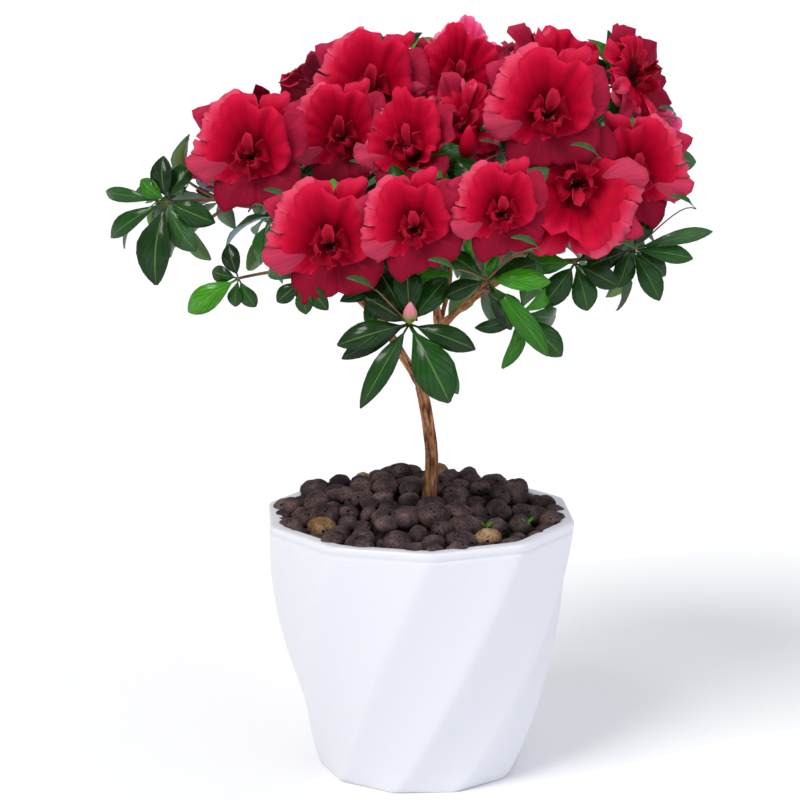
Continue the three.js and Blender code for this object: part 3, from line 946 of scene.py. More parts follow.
def whorl(place, axis, leaves):
    """Sets leaves round an axis. Each has an angle, length, width, lift and shade."""
    right = Vector((0, 0, 1)).cross(axis).normalized()
    up = axis.cross(right)
    for angle, length, width, lift, shade in leaves:
        turn = math.radians(angle)
        spoke = right * math.cos(turn) + up * math.sin(turn)
        raise_by = math.radians(lift)
        way = spoke * math.cos(raise_by) + axis * math.sin(raise_by)
        leaf_rows.append((place + spoke * 0.5 * MM, way, axis, length * MM, width * MM, shade))


def random_leaves(dice, count, lift, length=(20, 33)):
    """A whorl's leaves from dice: evenly spaced with some play, and no two alike."""
    start = dice.uniform(0, 360)
    rows = []
    for i in range(count):
        long = dice.uniform(*length)
        rows.append((
            start + 360 * i / count + dice.uniform(-16, 16), long, long * dice.uniform(0.32, 0.46),
            dice.uniform(*lift), dice.choice((0, 0, 1, 1, 2, 2, 3, 4, 5, 6, 7)),
        ))
    return rows


def place_in(name, shares):
    """A place in a node's box, from 0 to 1 along x, y and z."""
    low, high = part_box(name)
    return Vector(a + (b - a) * s for a, b, s in zip(low, high, shares))


for name, shares, axis, leaves in SET_WHORLS:
    tip = place_in(name, shares)
    leaf_tips.append((tip, Vector(axis).normalized()))
    whorl(tip, leaf_tips[-1][1], leaves)

for name in LEAF_NODES:
    middle, reach = middle_and_reach(name)
    low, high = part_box(name)
    set_here = [place_in(w[0], w[1]) for w in SET_WHORLS if w[0] == name]
    for _ in range(MORE_TIPS.get(name, 0) if set_here else TIPS_PER_MASS):
        for _ in range(TRIES):
            ball = Vector([shoot_dice.gauss(0, 1) for _ in range(3)]).normalized()
            tip = middle + Vector(b * h * TIP_SPREAD for b, h in zip(ball, high - low))
            if set_here:
                tip.y = max(tip.y, middle.y)  # behind the whorls listed one by one
            if all((tip - other).length > TIP_GAP for other in set_here):
                break
        set_here.append(tip)
        axis = (outward(tip) + Vector((0, 0, 0.35)) + ball * 0.25).normalized()
        leaf_tips.append((tip, axis))
        whorl(tip, axis, random_leaves(shoot_dice, shoot_dice.randint(5, 7), (-8, 38)))

# Shoots in the crown's middle, below the blooms: rings of count, reach and height.
INNER_RINGS = ((4, 26 * MM, 34 * MM), (7, 56 * MM, 16 * MM), (6, 34 * MM, 8 * MM), (9, 66 * MM, 4 * MM))
RING_DEPTH = 0.8  # the rings are a little narrower from front to back
for count, reach, height in INNER_RINGS:
    for i in range(count):
        turn = 2 * math.pi * (i + shoot_dice.uniform(0.2, 0.8)) / count
        tip = CROWN_MIDDLE + Vector((reach * math.cos(turn), reach * math.sin(turn) * RING_DEPTH, height))
        if tip.y > -0.3 * reach:  # none among the blooms at the front
            axis = (outward(tip) + Vector((0, 0, 0.9))).normalized()
            leaf_tips.append((tip, axis))
            whorl(tip, axis, random_leaves(shoot_dice, 7, (-5, 35)))

# Under each bloom: a whorl at its foot, another a little lower, and five small sepals.
SEAT_DEPTH = 0.55  # from a bloom's middle down to its foot, as a share of its reach
WHORL_GAP = 9 * MM
SEPALS = [(72 * i, 6, 3, 52, 6) for i in range(5)]
young_tips = []  # of the thin shoots that carry one young leaf each
for bloom in blooms:
    axis, reach = bloom["axis"], bloom["reach"]
    seat = bloom["place"] - axis * reach * SEAT_DEPTH
    bloom["seat"] = seat
    whorl(seat, axis, random_leaves(shoot_dice, shoot_dice.randint(6, 8), (-15, 12), (20, 29)))
    whorl(seat - axis * WHORL_GAP, axis, random_leaves(shoot_dice, 4, (0, 30), (20, 30)))
    whorl(seat, axis, SEPALS)
    if "back" not in bloom["node"]:
        # One young narrow leaf stands up edge-on before the lower right petals.
        right = Vector((0, 0, 1)).cross(axis).normalized()
        up = axis.cross(right)
        base = bloom["place"] + (right * 0.84 - up * 0.84 - axis * 0.02) * reach
        way = (-right * 0.85 + up * 0.45 + axis * 0.28).normalized()
        leaf_rows.append((base, way, (axis + up * 0.8).normalized(), 15 * MM, 3.4 * MM, 5))
        young_tips.append((base, (right - up + axis).normalized()))
print(len(leaf_tips), "leafy tips,", len(young_tips), "young shoots,", len(leaf_rows), "leaves and sepals")

# %% Buds and sprouts
# Each bud: the place of its foot in millimetres, the way it points, its length and its width.
PALE_BUDS = [(tuple((leaf_tips[0][0] + leaf_tips[0][1] * 2 * MM) / MM), (0.04, -0.35, 0.94), 11, 6.6)]
RED_BUDS = [((20, -62, 300), (0.05, -0.3, 0.95), 17, 8.5), ((66, -28, 318), (-0.3, -0.4, 0.85), 13, 8)]
BUD_SEPALS = [(72 * i, 5, 2.6, 58, 6) for i in range(5)]
bud_tips = [(Vector(place) * MM, Vector(axis).normalized()) for place, axis, _, _ in PALE_BUDS + RED_BUDS]
for tip, axis in bud_tips:
    whorl(tip, axis, BUD_SEPALS)

# Young sprouts stand at the stem's foot and among the pebbles: place, and height over
# the CAD heap's top, in millimetres.
SPROUTS = ((-4, 2, 1.5), (30, -38, -4), (49, -31, -4))
SPROUT_LEAVES = [(130 * i, 5 - i, 1.7, 55, 7) for i in range(3)]
heap_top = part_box("pebble_bed")[1].z
for x, y, rise in SPROUTS:
    foot = Vector((x * MM, y * MM, heap_top + rise * MM))
    whorl(foot, Vector((0.3, -0.3, 1)).normalized(), SPROUT_LEAVES)
print(len(leaf_tips), "leafy tips,", len(leaf_rows), "leaves")

# %% [markdown]
# ## Twigs
# Each tip is joined to the nearest wood below it, starting with the closest tips, and
# every new twig is wood that later ones can start from. That is how real shoots
# branch, and it gives forks without a plan. The tips turn gently into their own
# axes. A node tree gives the lines their thickness.

# %% Grow the twigs
TWIG_STEP = 3 * MM
TWIG_RADIUS = (1.05 * MM, 0.62 * MM)
TWIG_CURVE = 0.8  # how firmly a twig keeps the direction that it starts and ends in
DROP_COST = 1.2  # wood above a tip counts as farther off than it is
ALONG_GAIN = 0.35  # and wood that already points to the tip as nearer
YOUNG_SHARE = 0.42  # the thickness of a shoot with one young leaf, as a share of a twig's


def twig_path(start, start_way, end, end_way):
    """Places along a smooth curve that leaves and arrives in the given directions."""
    span = (end - start).length
    out, into = start_way * span * TWIG_CURVE, end_way * span * TWIG_CURVE
    steps = max(int(span / TWIG_STEP), 3)
    path = []
    for i in range(steps + 1):
        t = i / steps
        path.append(
            start * (2 * t**3 - 3 * t**2 + 1) + out * (t**3 - 2 * t**2 + t)
            + end * (3 * t**2 - 2 * t**3) + into * (t**3 - t**2)
        )
    return path


wood = []  # place and direction of everything that a twig can start from
for name, line in limb_lines.items():
    if name != "stem":
        ways = np.gradient(line[:, :3], axis=0)
        for row, way in list(zip(line, ways))[4::2]:
            wood.append((Vector(row[:3]), Vector(way).normalized()))

tips = [(b["seat"], b["axis"]) for b in blooms] + leaf_tips + bud_tips[len(PALE_BUDS):]
tips.sort(key=lambda tip: min((tip[0] - place).length for place, _ in wood))
tips += young_tips  # last, so that they start from the blooms' own twigs
twig_points, twig_edges, twig_radii = [], [], []
for tip, axis in tips:
    def cost(site):
        gap = tip - site[0]
        return gap.length + DROP_COST * max(0.0, -gap.z) - ALONG_GAIN * gap.dot(site[1])

    start, way = min(wood, key=cost)
    path = twig_path(start, (way + (tip - start).normalized()).normalized(), tip, axis)
    first = len(twig_points)
    twig_points += [tuple(p) for p in path]
    twig_edges += [(first + i, first + i + 1) for i in range(len(path) - 1)]
    slim = YOUNG_SHARE if (tip, axis) in young_tips else 1.0
    twig_radii += list(np.linspace(*TWIG_RADIUS, len(path)) * slim)
    for a, b in list(zip(path, path[1:]))[1:]:
        wood.append((b, (b - a).normalized()))
print(len(tips), "twigs,", len(twig_points), "points")


# %% Tree that gives lines their thickness
def twig_tree():
    """The tree that turns the edges of a mesh into closed tubes."""
    tree, given, result = new_tree("thicken lines", {"Sides": "Int", "Material": "Material"})
    curve = add_node(tree, "GeometryNodeMeshToCurve", {0: given.outputs["Geometry"]})
    radius = add_node(tree, "GeometryNodeInputNamedAttribute", {"Name": "thickness"}, data_type="FLOAT")
    thick = add_node(tree, "GeometryNodeSetCurveRadius", {
        "Curve": curve.outputs[0], "Radius": radius.outputs[0],
    })
    section = add_node(tree, "GeometryNodeCurvePrimitiveCircle", {
        "Resolution": given.outputs["Sides"], "Radius": 1.0,
    })
    skin = add_node(tree, "GeometryNodeCurveToMesh", {
        "Curve": thick.outputs[0], "Profile Curve": section.outputs[0],
        "Scale": radius.outputs[0], "Fill Caps": True,
    })
    real = add_node(tree, "GeometryNodeRealizeInstances", {0: skin.outputs[0]})
    coated = add_node(tree, "GeometryNodeSetMaterial", {
        "Geometry": real.outputs[0], "Material": given.outputs["Material"],
    })
    tree.links.new(coated.outputs[0], result.inputs[0])
    return tree


thicken_lines = twig_tree()
print("tree", thicken_lines.name, "has", len(thicken_lines.nodes), "nodes")

# %% [markdown]
# ### Young wood
# Twigs of this year are not barked yet. Their skin is smooth, between olive and
# reddish brown, and a little downy.

# %% Twigs
twig_paint, tree, shader = new_material("young azalea shoot, downy", "#7A5A3C", 0.7)
place = add_node(tree, "ShaderNodeTexCoord").outputs["Object"]
ages = add_node(tree, "ShaderNodeTexNoise", {"Vector": place, "Scale": 1 / (9 * MM), "Detail": 2.0})
shades = add_node(tree, "ShaderNodeValToRGB", {0: ages.outputs[0]}, [
    (0.35, "#5E3B2C"), (0.5, "#85583F"), (0.65, "#6B6A35"),
])
tree.links.new(shades.outputs[0], shader.inputs["Base Color"])
carrier_mesh = bpy.data.meshes.new("twig lines")
carrier_mesh.from_pydata(twig_points, twig_edges, [])
set_attribute(carrier_mesh, "thickness", "FLOAT", twig_radii)
carrier = bpy.data.objects.new("twig lines", carrier_mesh)
twig_mesh = run_tree(carrier, thicken_lines, {"Sides": 7, "Material": twig_paint})
twig_mesh.shade_smooth()
twigs = bpy.data.objects.new("twigs", twig_mesh)
hand_over(twigs, twig_paint, "bark")


# %% [markdown]
# ## Leaves and petals as thin solids
# Both are made by the same helper from a grid of points. The grid is the upper face,
# a copy just below it is the lower face, and a narrow band closes the edge. Each face
# takes its colours from its own cell of a shared UV map, so a pattern such as a midrib
# sits at the same place on every leaf.

# %% Thin solids from grids
CELL_EDGE = 0.04  # share of a cell left free round its border


def cell_uv(across, along, cell, cells):
    """UVs in one cell of a map that is split into columns and two rows."""
    column, row = cell
    u = (column + CELL_EDGE + (1 - 2 * CELL_EDGE) * across) / cells
    v = (row + CELL_EDGE + (1 - 2 * CELL_EDGE) * along) / 2
    return np.stack([u, v], axis=-1)


def thin_solid(grid, thickness, front_cell, back_cell, cells):
    """A grid of points, rows along and columns across, as a closed thin solid."""
    rows, columns = grid.shape[:2]
    normal = np.cross(np.gradient(grid, axis=1), np.gradient(grid, axis=0))
    normal /= np.linalg.norm(normal, axis=2)[..., None] + 1e-12
    across, along = np.meshgrid(np.linspace(0, 1, columns), np.linspace(0, 1, rows))
    front_uv = cell_uv(across, along, front_cell, cells).reshape(-1, 2)
    back_uv = cell_uv(across, along, back_cell, cells).reshape(-1, 2)
    index = np.arange(rows * columns).reshape(rows, columns)
    a, b = index[:-1, :-1].ravel(), index[:-1, 1:].ravel()
    c, d = index[1:, 1:].ravel(), index[1:, :-1].ravel()
    front = np.stack([a, b, c, d], axis=1)
    back = np.stack([a, d, c, b], axis=1) + rows * columns
    border = np.concatenate([index[0, :-1], index[:-1, -1], index[-1, :0:-1], index[:0:-1, 0]])
    after = np.roll(border, -1)
    band = np.stack([border, border + rows * columns, after + rows * columns, after], axis=1)
    points = np.concatenate([grid.reshape(-1, 3), (grid - normal * thickness).reshape(-1, 3)])
    uvs = np.concatenate([front_uv[front], back_uv[back - rows * columns],
                          front_uv[np.stack([border, border, after, after], axis=1)]])
    return points, np.concatenate([front, back, band]), uvs


# %% [markdown]
# ## Leaves
# An azalea leaf is a pointed oval on a short stalk, widest past its middle. Its
# halves fold up a little from the midrib, its tip bends down and its edge waves. Eight
# shapes are enough, because each is stretched and turned differently where it is set.

# %% Leaf shapes
LEAF_CELLS = 8
LEAF_ROWS, LEAF_COLUMNS = 11, 3
STALK_SHARE = 0.1  # of a leaf's length
STALK_HALF_WIDTH = 0.045  # of its width
LEAF_THICKNESS = 0.012


def leaf_shape(number):
    """A leaf of unit length and width, its stalk at the origin and its tip along y."""
    dice = random.Random(100 + number)
    along = np.sin(np.linspace(0, 0.5, LEAF_ROWS) * math.pi)[:, None] ** 1.15
    across = np.linspace(-1, 1, LEAF_COLUMNS)[None, :]
    widest = dice.uniform(1.1, 1.45)
    past_stalk = np.clip((along - STALK_SHARE) / (1 - STALK_SHARE), 0, 0.994)
    swell = np.sin(math.pi * past_stalk ** widest) ** 0.7
    half = 0.5 * np.maximum(swell, 2 * STALK_HALF_WIDTH * (along < 0.5))
    droop, bend = dice.uniform(0.10, 0.26), dice.uniform(2.4, 3.2)
    y = along * (1 - 0.12 * droop) + 0 * across
    z = 0.09 * np.sin(along * math.pi * 0.9) - droop * along ** bend + 0 * across
    z = z + dice.uniform(0.12, 0.3) * np.abs(across) * half * 0.55
    z = z + dice.uniform(0.01, 0.025) * np.sin(along * dice.uniform(9, 14) + across * 2) * np.abs(across)
    x = half * across + dice.uniform(-0.06, 0.06) * along ** 2
    grid = np.stack([x, y, z], axis=-1)
    blade = thin_solid(grid, LEAF_THICKNESS, (number, 0), (number, 1), LEAF_CELLS)
    return mesh_from(f"leaf {number}", [blade])


print(LEAF_CELLS, "leaf shapes of", LEAF_ROWS, "by", LEAF_COLUMNS, "points on a side")


# %% [markdown]
# ### Leaf
# The upper side of an evergreen azalea's leaf has a waxy cuticle: deep green, with
# broad bluish reflections of the sky. The midrib is pale and the side veins are sunk.
# The lower side is paler and dull. The eight cells of the map are eight leaves of
# different age, from nearly black green to the yellow green of this month's growth.

# %% Leaf paint
def by_cell(colours):
    """Stops that give each column of the map its own flat colour."""
    return [(column / len(colours), colour) for column, colour in enumerate(colours)]


LEAF_GREENS = ("#0A2C03", "#0F3A05", "#154808", "#184E0E", "#225A18", "#3C6A36", "#2E7A0A", "#459C14")
LEAF_BACKS = ("#5F7A62", "#6A8468", "#6F8A6A", "#7C9488", "#8298A0", "#90A3AC", "#6E9158", "#7FA05C")
leaf_paint, tree, shader = new_material("azalea leaf, waxy cuticle", "#1C4713", 0.3, {
    "IOR": 1.45, "Specular IOR Level": 0.22, "Coat Weight": 0.2, "Coat Roughness": 0.12,
})
uv = add_node(tree, "ShaderNodeUVMap", uv_map=UV_NAME).outputs[0]
u, v, _ = add_node(tree, "ShaderNodeSeparateXYZ", {0: uv}).outputs
# Within its cell, a place on the leaf runs from 0 to 1 across it and along it.
tiles = add_node(tree, "ShaderNodeVectorMath", {0: uv, 1: (LEAF_CELLS, 2, 1)}, operation="MULTIPLY")
local = add_node(tree, "ShaderNodeVectorMath", {0: tiles.outputs[0]}, operation="FRACTION").outputs[0]
across, along, _ = add_node(tree, "ShaderNodeSeparateXYZ", {0: local}).outputs
to_rib = add_node(tree, "ShaderNodeMath", {0: across, 1: 0.5}, operation="PINGPONG").outputs[0]
rib = add_node(tree, "ShaderNodeMapRange", {"Value": to_rib, "From Min": 0.465, "From Max": 0.495}).outputs[0]
# Side veins leave the midrib at a slant, so their count runs along and across.
slant = add_node(tree, "ShaderNodeMath", {0: to_rib, 1: 7.0, 2: along}, operation="MULTIPLY_ADD").outputs[0]
slant = add_node(tree, "ShaderNodeMath", {0: along, 1: 7.0, 2: slant}, operation="MULTIPLY_ADD").outputs[0]
between = add_node(tree, "ShaderNodeMath", {0: slant, 1: 0.5}, operation="PINGPONG").outputs[0]
vein = add_node(tree, "ShaderNodeMapRange", {
    "Value": between, "From Min": 0.0, "From Max": 0.14, "To Min": 1.0, "To Max": 0.0,
}).outputs[0]
under = add_node(tree, "ShaderNodeMath", {0: v, 1: 0.5}, operation="GREATER_THAN").outputs[0]
patches = add_node(tree, "ShaderNodeVectorMath", {0: uv, 1: (60, 14, 1)}, operation="MULTIPLY")
mottle = add_node(tree, "ShaderNodeTexNoise", {"Vector": patches.outputs[0], "Scale": 1.0, "Detail": 3.0})
tone = add_node(tree, "ShaderNodeValToRGB", {0: mottle.outputs[0]}, [(0.3, "#D0D0D0"), (0.65, "#FFFFFF")])
green = add_node(tree, "ShaderNodeValToRGB", {0: u}, by_cell(LEAF_GREENS), steps=True)
back = add_node(tree, "ShaderNodeValToRGB", {0: u}, by_cell(LEAF_BACKS), steps=True)
green = add_node(tree, "ShaderNodeMix", {0: 1.0, 6: green.outputs[0], 7: tone.outputs[0]},
                 data_type="RGBA", blend_type="MULTIPLY")
sunk = add_node(tree, "ShaderNodeMath", {0: vein, 1: 0.4}, operation="MULTIPLY")
green = add_node(tree, "ShaderNodeMix", {0: sunk.outputs[0], 6: green.outputs[2], 7: linear("#0B2407")},
                 data_type="RGBA")
pale = add_node(tree, "ShaderNodeMath", {0: rib, 1: 0.45}, operation="MULTIPLY")
green = add_node(tree, "ShaderNodeMix", {0: pale.outputs[0], 6: green.outputs[2], 7: linear("#7FA054")},
                 data_type="RGBA")
green = add_node(tree, "ShaderNodeMix", {0: under, 6: green.outputs[2], 7: back.outputs[0]}, data_type="RGBA")
stalk = add_node(tree, "ShaderNodeMapRange", {
    "Value": along, "From Max": 0.12, "To Min": 0.65, "To Max": 0.0,
})
green = add_node(tree, "ShaderNodeMix", {0: stalk.outputs[0], 6: green.outputs[2], 7: linear("#7E9650")},
                 data_type="RGBA")
tree.links.new(green.outputs[2], shader.inputs["Base Color"])
gloss = add_node(tree, "ShaderNodeMapRange", {"Value": under, "To Min": 0.28, "To Max": 0.7})
tree.links.new(gloss.outputs[0], shader.inputs["Roughness"])
groove = add_node(tree, "ShaderNodeMath", {0: vein, 1: rib}, operation="ADD")
leaf_bump = add_node(tree, "ShaderNodeBump", {
    "Height": groove.outputs[0], "Strength": 0.5, "Distance": 0.5 * MM,
}, invert=True)
tree.links.new(leaf_bump.outputs[0], shader.inputs["Normal"])
print("material", leaf_paint.name, "has", len(tree.nodes), "nodes")


# %% Set the leaves
def facing_turn(way, face):
    """The rotation that takes y to a direction and z as near as can be to another."""
    y = way.normalized()
    z = (face - y * face.dot(y)).normalized()
    return Matrix((y.cross(z), y, z)).transposed()


def leaf_places(rows):
    """The rows of the leaves as places for the scatter tree."""
    found = []
    for base, way, face, length, width, shade in rows:
        found.append((tuple(base), facing_turn(way, face), (width, length, length), shade))
    return found


leaves = scatter("leaves", [leaf_shape(n) for n in range(LEAF_CELLS)], leaf_places(leaf_rows), leaf_paint)
hand_over(leaves, leaf_paint, "leaves", *LEAF_NODES)
# %% [markdown]
# ## Double flowers
# These blooms are double. Seven outer petals stand round a wide inner cup, whose five
# petals have grown together and whose rim is ruffled and rolls back on one side. Five
# small lobes curl out from behind that side, painted pale pink as a painted highlight
# of the light they catch. In the throat the stamens have turned into small rolled
# petals, and three stay as they were. Every petal is one sheet that runs from the
# throat to its rim. The rim's corners give its outline: each has its bearing from the
# throat, its reach, how steeply the sheet ends there, and how far it rolls back, in
# degrees. Lengths are shares of the flower's radius.

# %% Petal sheet
PETAL_CELLS = 9
# Cells of the petal map. The lit cell is painted brighter, as painted light, and the cells of the lower
# petals and of the side petals are painted darker, as painted shade.
PLAIN, SHADED_LOWER, SHADED_SIDE, CUP, LIT, LOBE, SPOON, HEART, STAMEN = range(PETAL_CELLS)
PETAL_THICKNESS = 0.007


def ease(values, low, high):
    """0 below the low value, 1 above the high one, and a smooth rise between them."""
    t = np.clip((values - low) / (high - low), 0, 1)
    return t * t * (3 - 2 * t)


def petal(dice, corners, steep, base, cell, size=(12, 15), ruffle=0.04, waves=5.0, claw=0.45,
          cupping=0.0, fullness=0.75):
    """One petal as a thin solid, in a flower whose face looks along z and whose top is y.

    It starts at its base, a reach and a height, as steep as given in degrees. Its claw
    is how narrow it starts, as a share of its width at the rim.
    """
    rows, columns = size
    knots = np.array(corners, float)
    bearing = np.radians(knots[:, 0])
    flat_knots = np.column_stack([knots[:, 1] * np.cos(bearing), knots[:, 1] * np.sin(bearing),
                                  bearing * 0, bearing, knots[:, 2:]])
    rim = smooth_line(flat_knots, columns)
    angle, reach = rim[:, 3], np.hypot(rim[:, 0], rim[:, 1])
    flat, roll = np.radians(rim[:, 4]), np.radians(rim[:, 5])
    along = np.linspace(0, 1, rows)[:, None]
    across = np.linspace(-1, 1, columns)[None, :]
    phase = dice.uniform(0, 6.28, 3)
    plain_slope = np.radians(steep) + (flat - np.radians(steep)) * along ** fullness
    slope = plain_slope - roll * ease(along, 0.72, 1.0)
    step = np.diff(along, axis=0, prepend=0)
    length = (reach - base[0]) / (np.cos(plain_slope) * step).sum(axis=0)
    radial = base[0] + np.cumsum(np.cos(slope) * step, axis=0) * length
    height = base[1] + np.cumsum(np.sin(slope) * step, axis=0) * length
    edge = ruffle * along ** 3 * (
        np.sin(waves * math.pi * across + phase[0]) + 0.5 * np.sin(2.6 * waves * math.pi * across + phase[1])
    )
    height = height + edge * np.cos(slope) + cupping * along * (across ** 2 - 0.4)
    radial = radial - edge * np.sin(slope) + 0.012 * along ** 4 * np.sin(15 * across + phase[2])
    middle = angle.mean()
    turn = middle + (angle - middle) * (claw + (1 - claw) * along ** 0.6)
    grid = np.stack([radial * np.cos(turn), radial * np.sin(turn), height], axis=-1)
    return thin_solid(grid[:, ::-1], PETAL_THICKNESS, (cell, 0), (cell, 1), PETAL_CELLS)


# %% Corners of the petals
# Each petal: its cell, and its corners as bearing, reach, end slope and roll.
OUTER_PETALS = [
    (LIT, [(60, 0.66, 12, 0), (59, 0.98, 12, 0), (64, 1.22, 12, 30), (71, 1.20, 12, 50),
           (86, 1.00, 10, 0), (92, 0.74, 10, 0)]),
    (LIT, [(86, 0.72, 14, 0), (91, 0.98, 16, 0), (103, 1.04, 16, 20), (113, 1.10, 18, 60),
           (124, 1.00, 16, 60), (134, 0.74, 14, 0)]),
    (PLAIN, [(64, 0.62, 10, 0), (60, 0.92, 10, 0), (47, 1.16, 8, 20), (34, 1.06, 4, 0),
             (21, 1.02, 2, 0), (3, 0.78, 2, 0), (-2, 0.56, 2, 0)]),
    (SHADED_LOWER, [(10, 0.56, 0, 0), (0, 0.80, -4, 0), (-21, 0.94, -8, 0), (-38, 0.97, -8, 0),
             (-57, 0.88, -8, 0), (-75, 0.78, -6, 0), (-88, 0.56, -4, 0)]),
    (SHADED_LOWER, [(-66, 0.58, -4, 0), (-80, 0.80, -6, 0), (-101, 0.88, -8, 0), (-112, 1.05, -14, 0),
             (-121, 1.00, -10, 0), (-138, 0.82, -6, 0), (-150, 0.60, 0, 0)]),
    (SHADED_SIDE, [(-138, 0.64, 4, 0), (-146, 0.92, 12, 20), (-157, 1.02, 20, 30), (-167, 1.08, 14, 0),
             (-180, 0.90, 8, 0), (-192, 0.64, 4, 0)]),
    (SHADED_SIDE, [(126, 0.70, 10, 0), (133, 1.02, 10, 0), (141, 1.16, 8, 0), (151, 1.24, 4, 0),
             (160, 1.02, 4, 0), (168, 0.80, 4, 0), (174, 0.60, 4, 0)]),
]
CUP_RIM = [
    (-84, 0.36, 8, 0), (-60, 0.38, 8, 0), (-36, 0.46, 12, 0), (-14, 0.60, 20, 20), (8, 0.68, 30, 50),
    (34, 0.70, 40, 60), (52, 0.84, 38, 20), (66, 0.86, 34, 0), (82, 0.76, 38, 0), (92, 0.84, 30, 0),
    (105, 0.98, 26, 20), (120, 0.94, 30, 40), (132, 0.86, 34, 70), (148, 0.82, 34, 80),
    (168, 0.77, 32, 80), (190, 0.78, 26, 50), (210, 0.76, 12, 10), (232, 0.64, 2, 0),
    (254, 0.46, 2, 0), (276, 0.36, 8, 0),
]
# The lobes' pale pink, from their cell of the petal map, is a painted highlight.
# Small lobes that curl out from behind the cup: bearing, reach, half width in degrees, end slope.
LOBES = [
    (117, 1.14, 10, 24), (136, 1.08, 12, 26), (158, 1.00, 12, 26), (180, 1.05, 8, 20), (203, 1.04, 13, 6),
]
# A lobe's corners: the share of its half width, the share of its reach, and roll.
LOBE_RIM = [(-1, 0.76, 0), (-1, 0.94, 20), (-0.3, 1, 60), (0.5, 0.98, 60), (1, 0.92, 20), (1, 0.76, 0)]
# Each rolled petal of the heart: its bearing, its reach, half its width in degrees, and
# whether its rim curls out (1) or in (-1), where its paler back shows.
SPOONS = [
    (20, 0.37, 34, 1), (-42, 0.40, 30, -1), (-104, 0.37, 32, 1), (206, 0.38, 34, -1), (152, 0.38, 30, 1),
    (-14, 0.24, 34, -1), (-78, 0.23, 34, -1), (222, 0.22, 34, 1), (168, 0.24, 30, -1),
]
# A spoon's rim: the share of its half width, the share of its reach, end slope and roll.
SPOON_RIM = [(-1, 0.55, 58, 0), (-0.96, 0.86, 44, 70), (-0.5, 1.0, 34, 110), (0, 1.03, 32, 120),
             (0.5, 1.0, 34, 110), (0.96, 0.86, 44, 70), (1, 0.55, 58, 0)]
HEART_CORNERS = [
    (140, 0.07, 76, 0), (126, 0.16, 70, 0), (94, 0.30, 60, 20), (56, 0.23, 66, 0), (36, 0.08, 76, 0),
]
STAMENS = (-34, -20, 150)
THROAT_SHIFT = Vector((0.11, -0.16))  # the throat lies below and right of a bloom's middle
FLOWER_KINDS = 4


def flower_shape(number):
    """A flower of unit radius. Every kind has the same plan and its own play."""
    dice = np.random.default_rng(40 + number)
    play = 0.0 if number == 0 else 1.0

    def shaken(corners):
        turn, stretch, lift = dice.uniform(-9, 9), dice.uniform(0.9, 1.06), dice.uniform(-8, 12)
        return [(a + play * turn, r * (1 + play * (stretch - 1) + play * dice.uniform(-0.05, 0.05)),
                 f + play * lift, b * (1 + play * dice.uniform(-0.5, 0.8))) for a, r, f, b in corners]

    parts = []
    for cell, corners in OUTER_PETALS:
        ruffle = (0.03 if cell == SHADED_LOWER else 0.055) * (1 + play)
        parts.append(petal(dice, shaken(corners), 64, (0.012, -0.54), cell, ruffle=ruffle, waves=3.0))
    for bearing, reach, width, slope in LOBES:
        corners = [(bearing + width * share, reach * far, slope, roll) for share, far, roll in LOBE_RIM]
        parts.append(petal(dice, shaken(corners), 66, (0.012, -0.50), LOBE, size=(9, 9), ruffle=0.03,
                           waves=2.0, cupping=-0.04, fullness=0.55))
    parts.append(petal(dice, shaken(CUP_RIM), 70, (0.012, -0.46), CUP, size=(14, 73),
                       ruffle=0.035 * (1 + play), waves=15.0, claw=1.0, fullness=0.55))
    for bearing, reach, width, curl in SPOONS:
        bearing += 14 * play * dice.uniform(-1, 1)
        reach *= 1 + play * dice.uniform(-0.1, 0.1)
        lean = dice.uniform(-10, 12)
        corners = [(bearing + width * share, reach * far, slope + lean, curl * roll)
                   for share, far, slope, roll in SPOON_RIM]
        parts.append(petal(dice, corners, 78, (0.012, -0.36), SPOON, size=(9, 9), ruffle=0.02,
                           waves=1.5, cupping=0.12, fullness=1.3))
    parts.append(petal(dice, HEART_CORNERS, 82, (0.012, -0.30), HEART, size=(8, 8), ruffle=0.01,
                       cupping=0.08))
    for bearing in STAMENS:
        corners = [(bearing - 6, 0.08, 70, 0), (bearing, 0.15, 50, 60), (bearing + 6, 0.08, 70, 0)]
        parts.append(petal(dice, corners, 88, (0.02, -0.30), STAMEN, size=(6, 3), ruffle=0.0))
    flower = mesh_from(f"flower {number}", parts)
    flower.data.transform(Matrix.Translation((*THROAT_SHIFT, 0)))
    return flower


print("a flower has", len(OUTER_PETALS), "outer petals,", len(LOBES), "lobes,", len(SPOONS), "rolled petals")
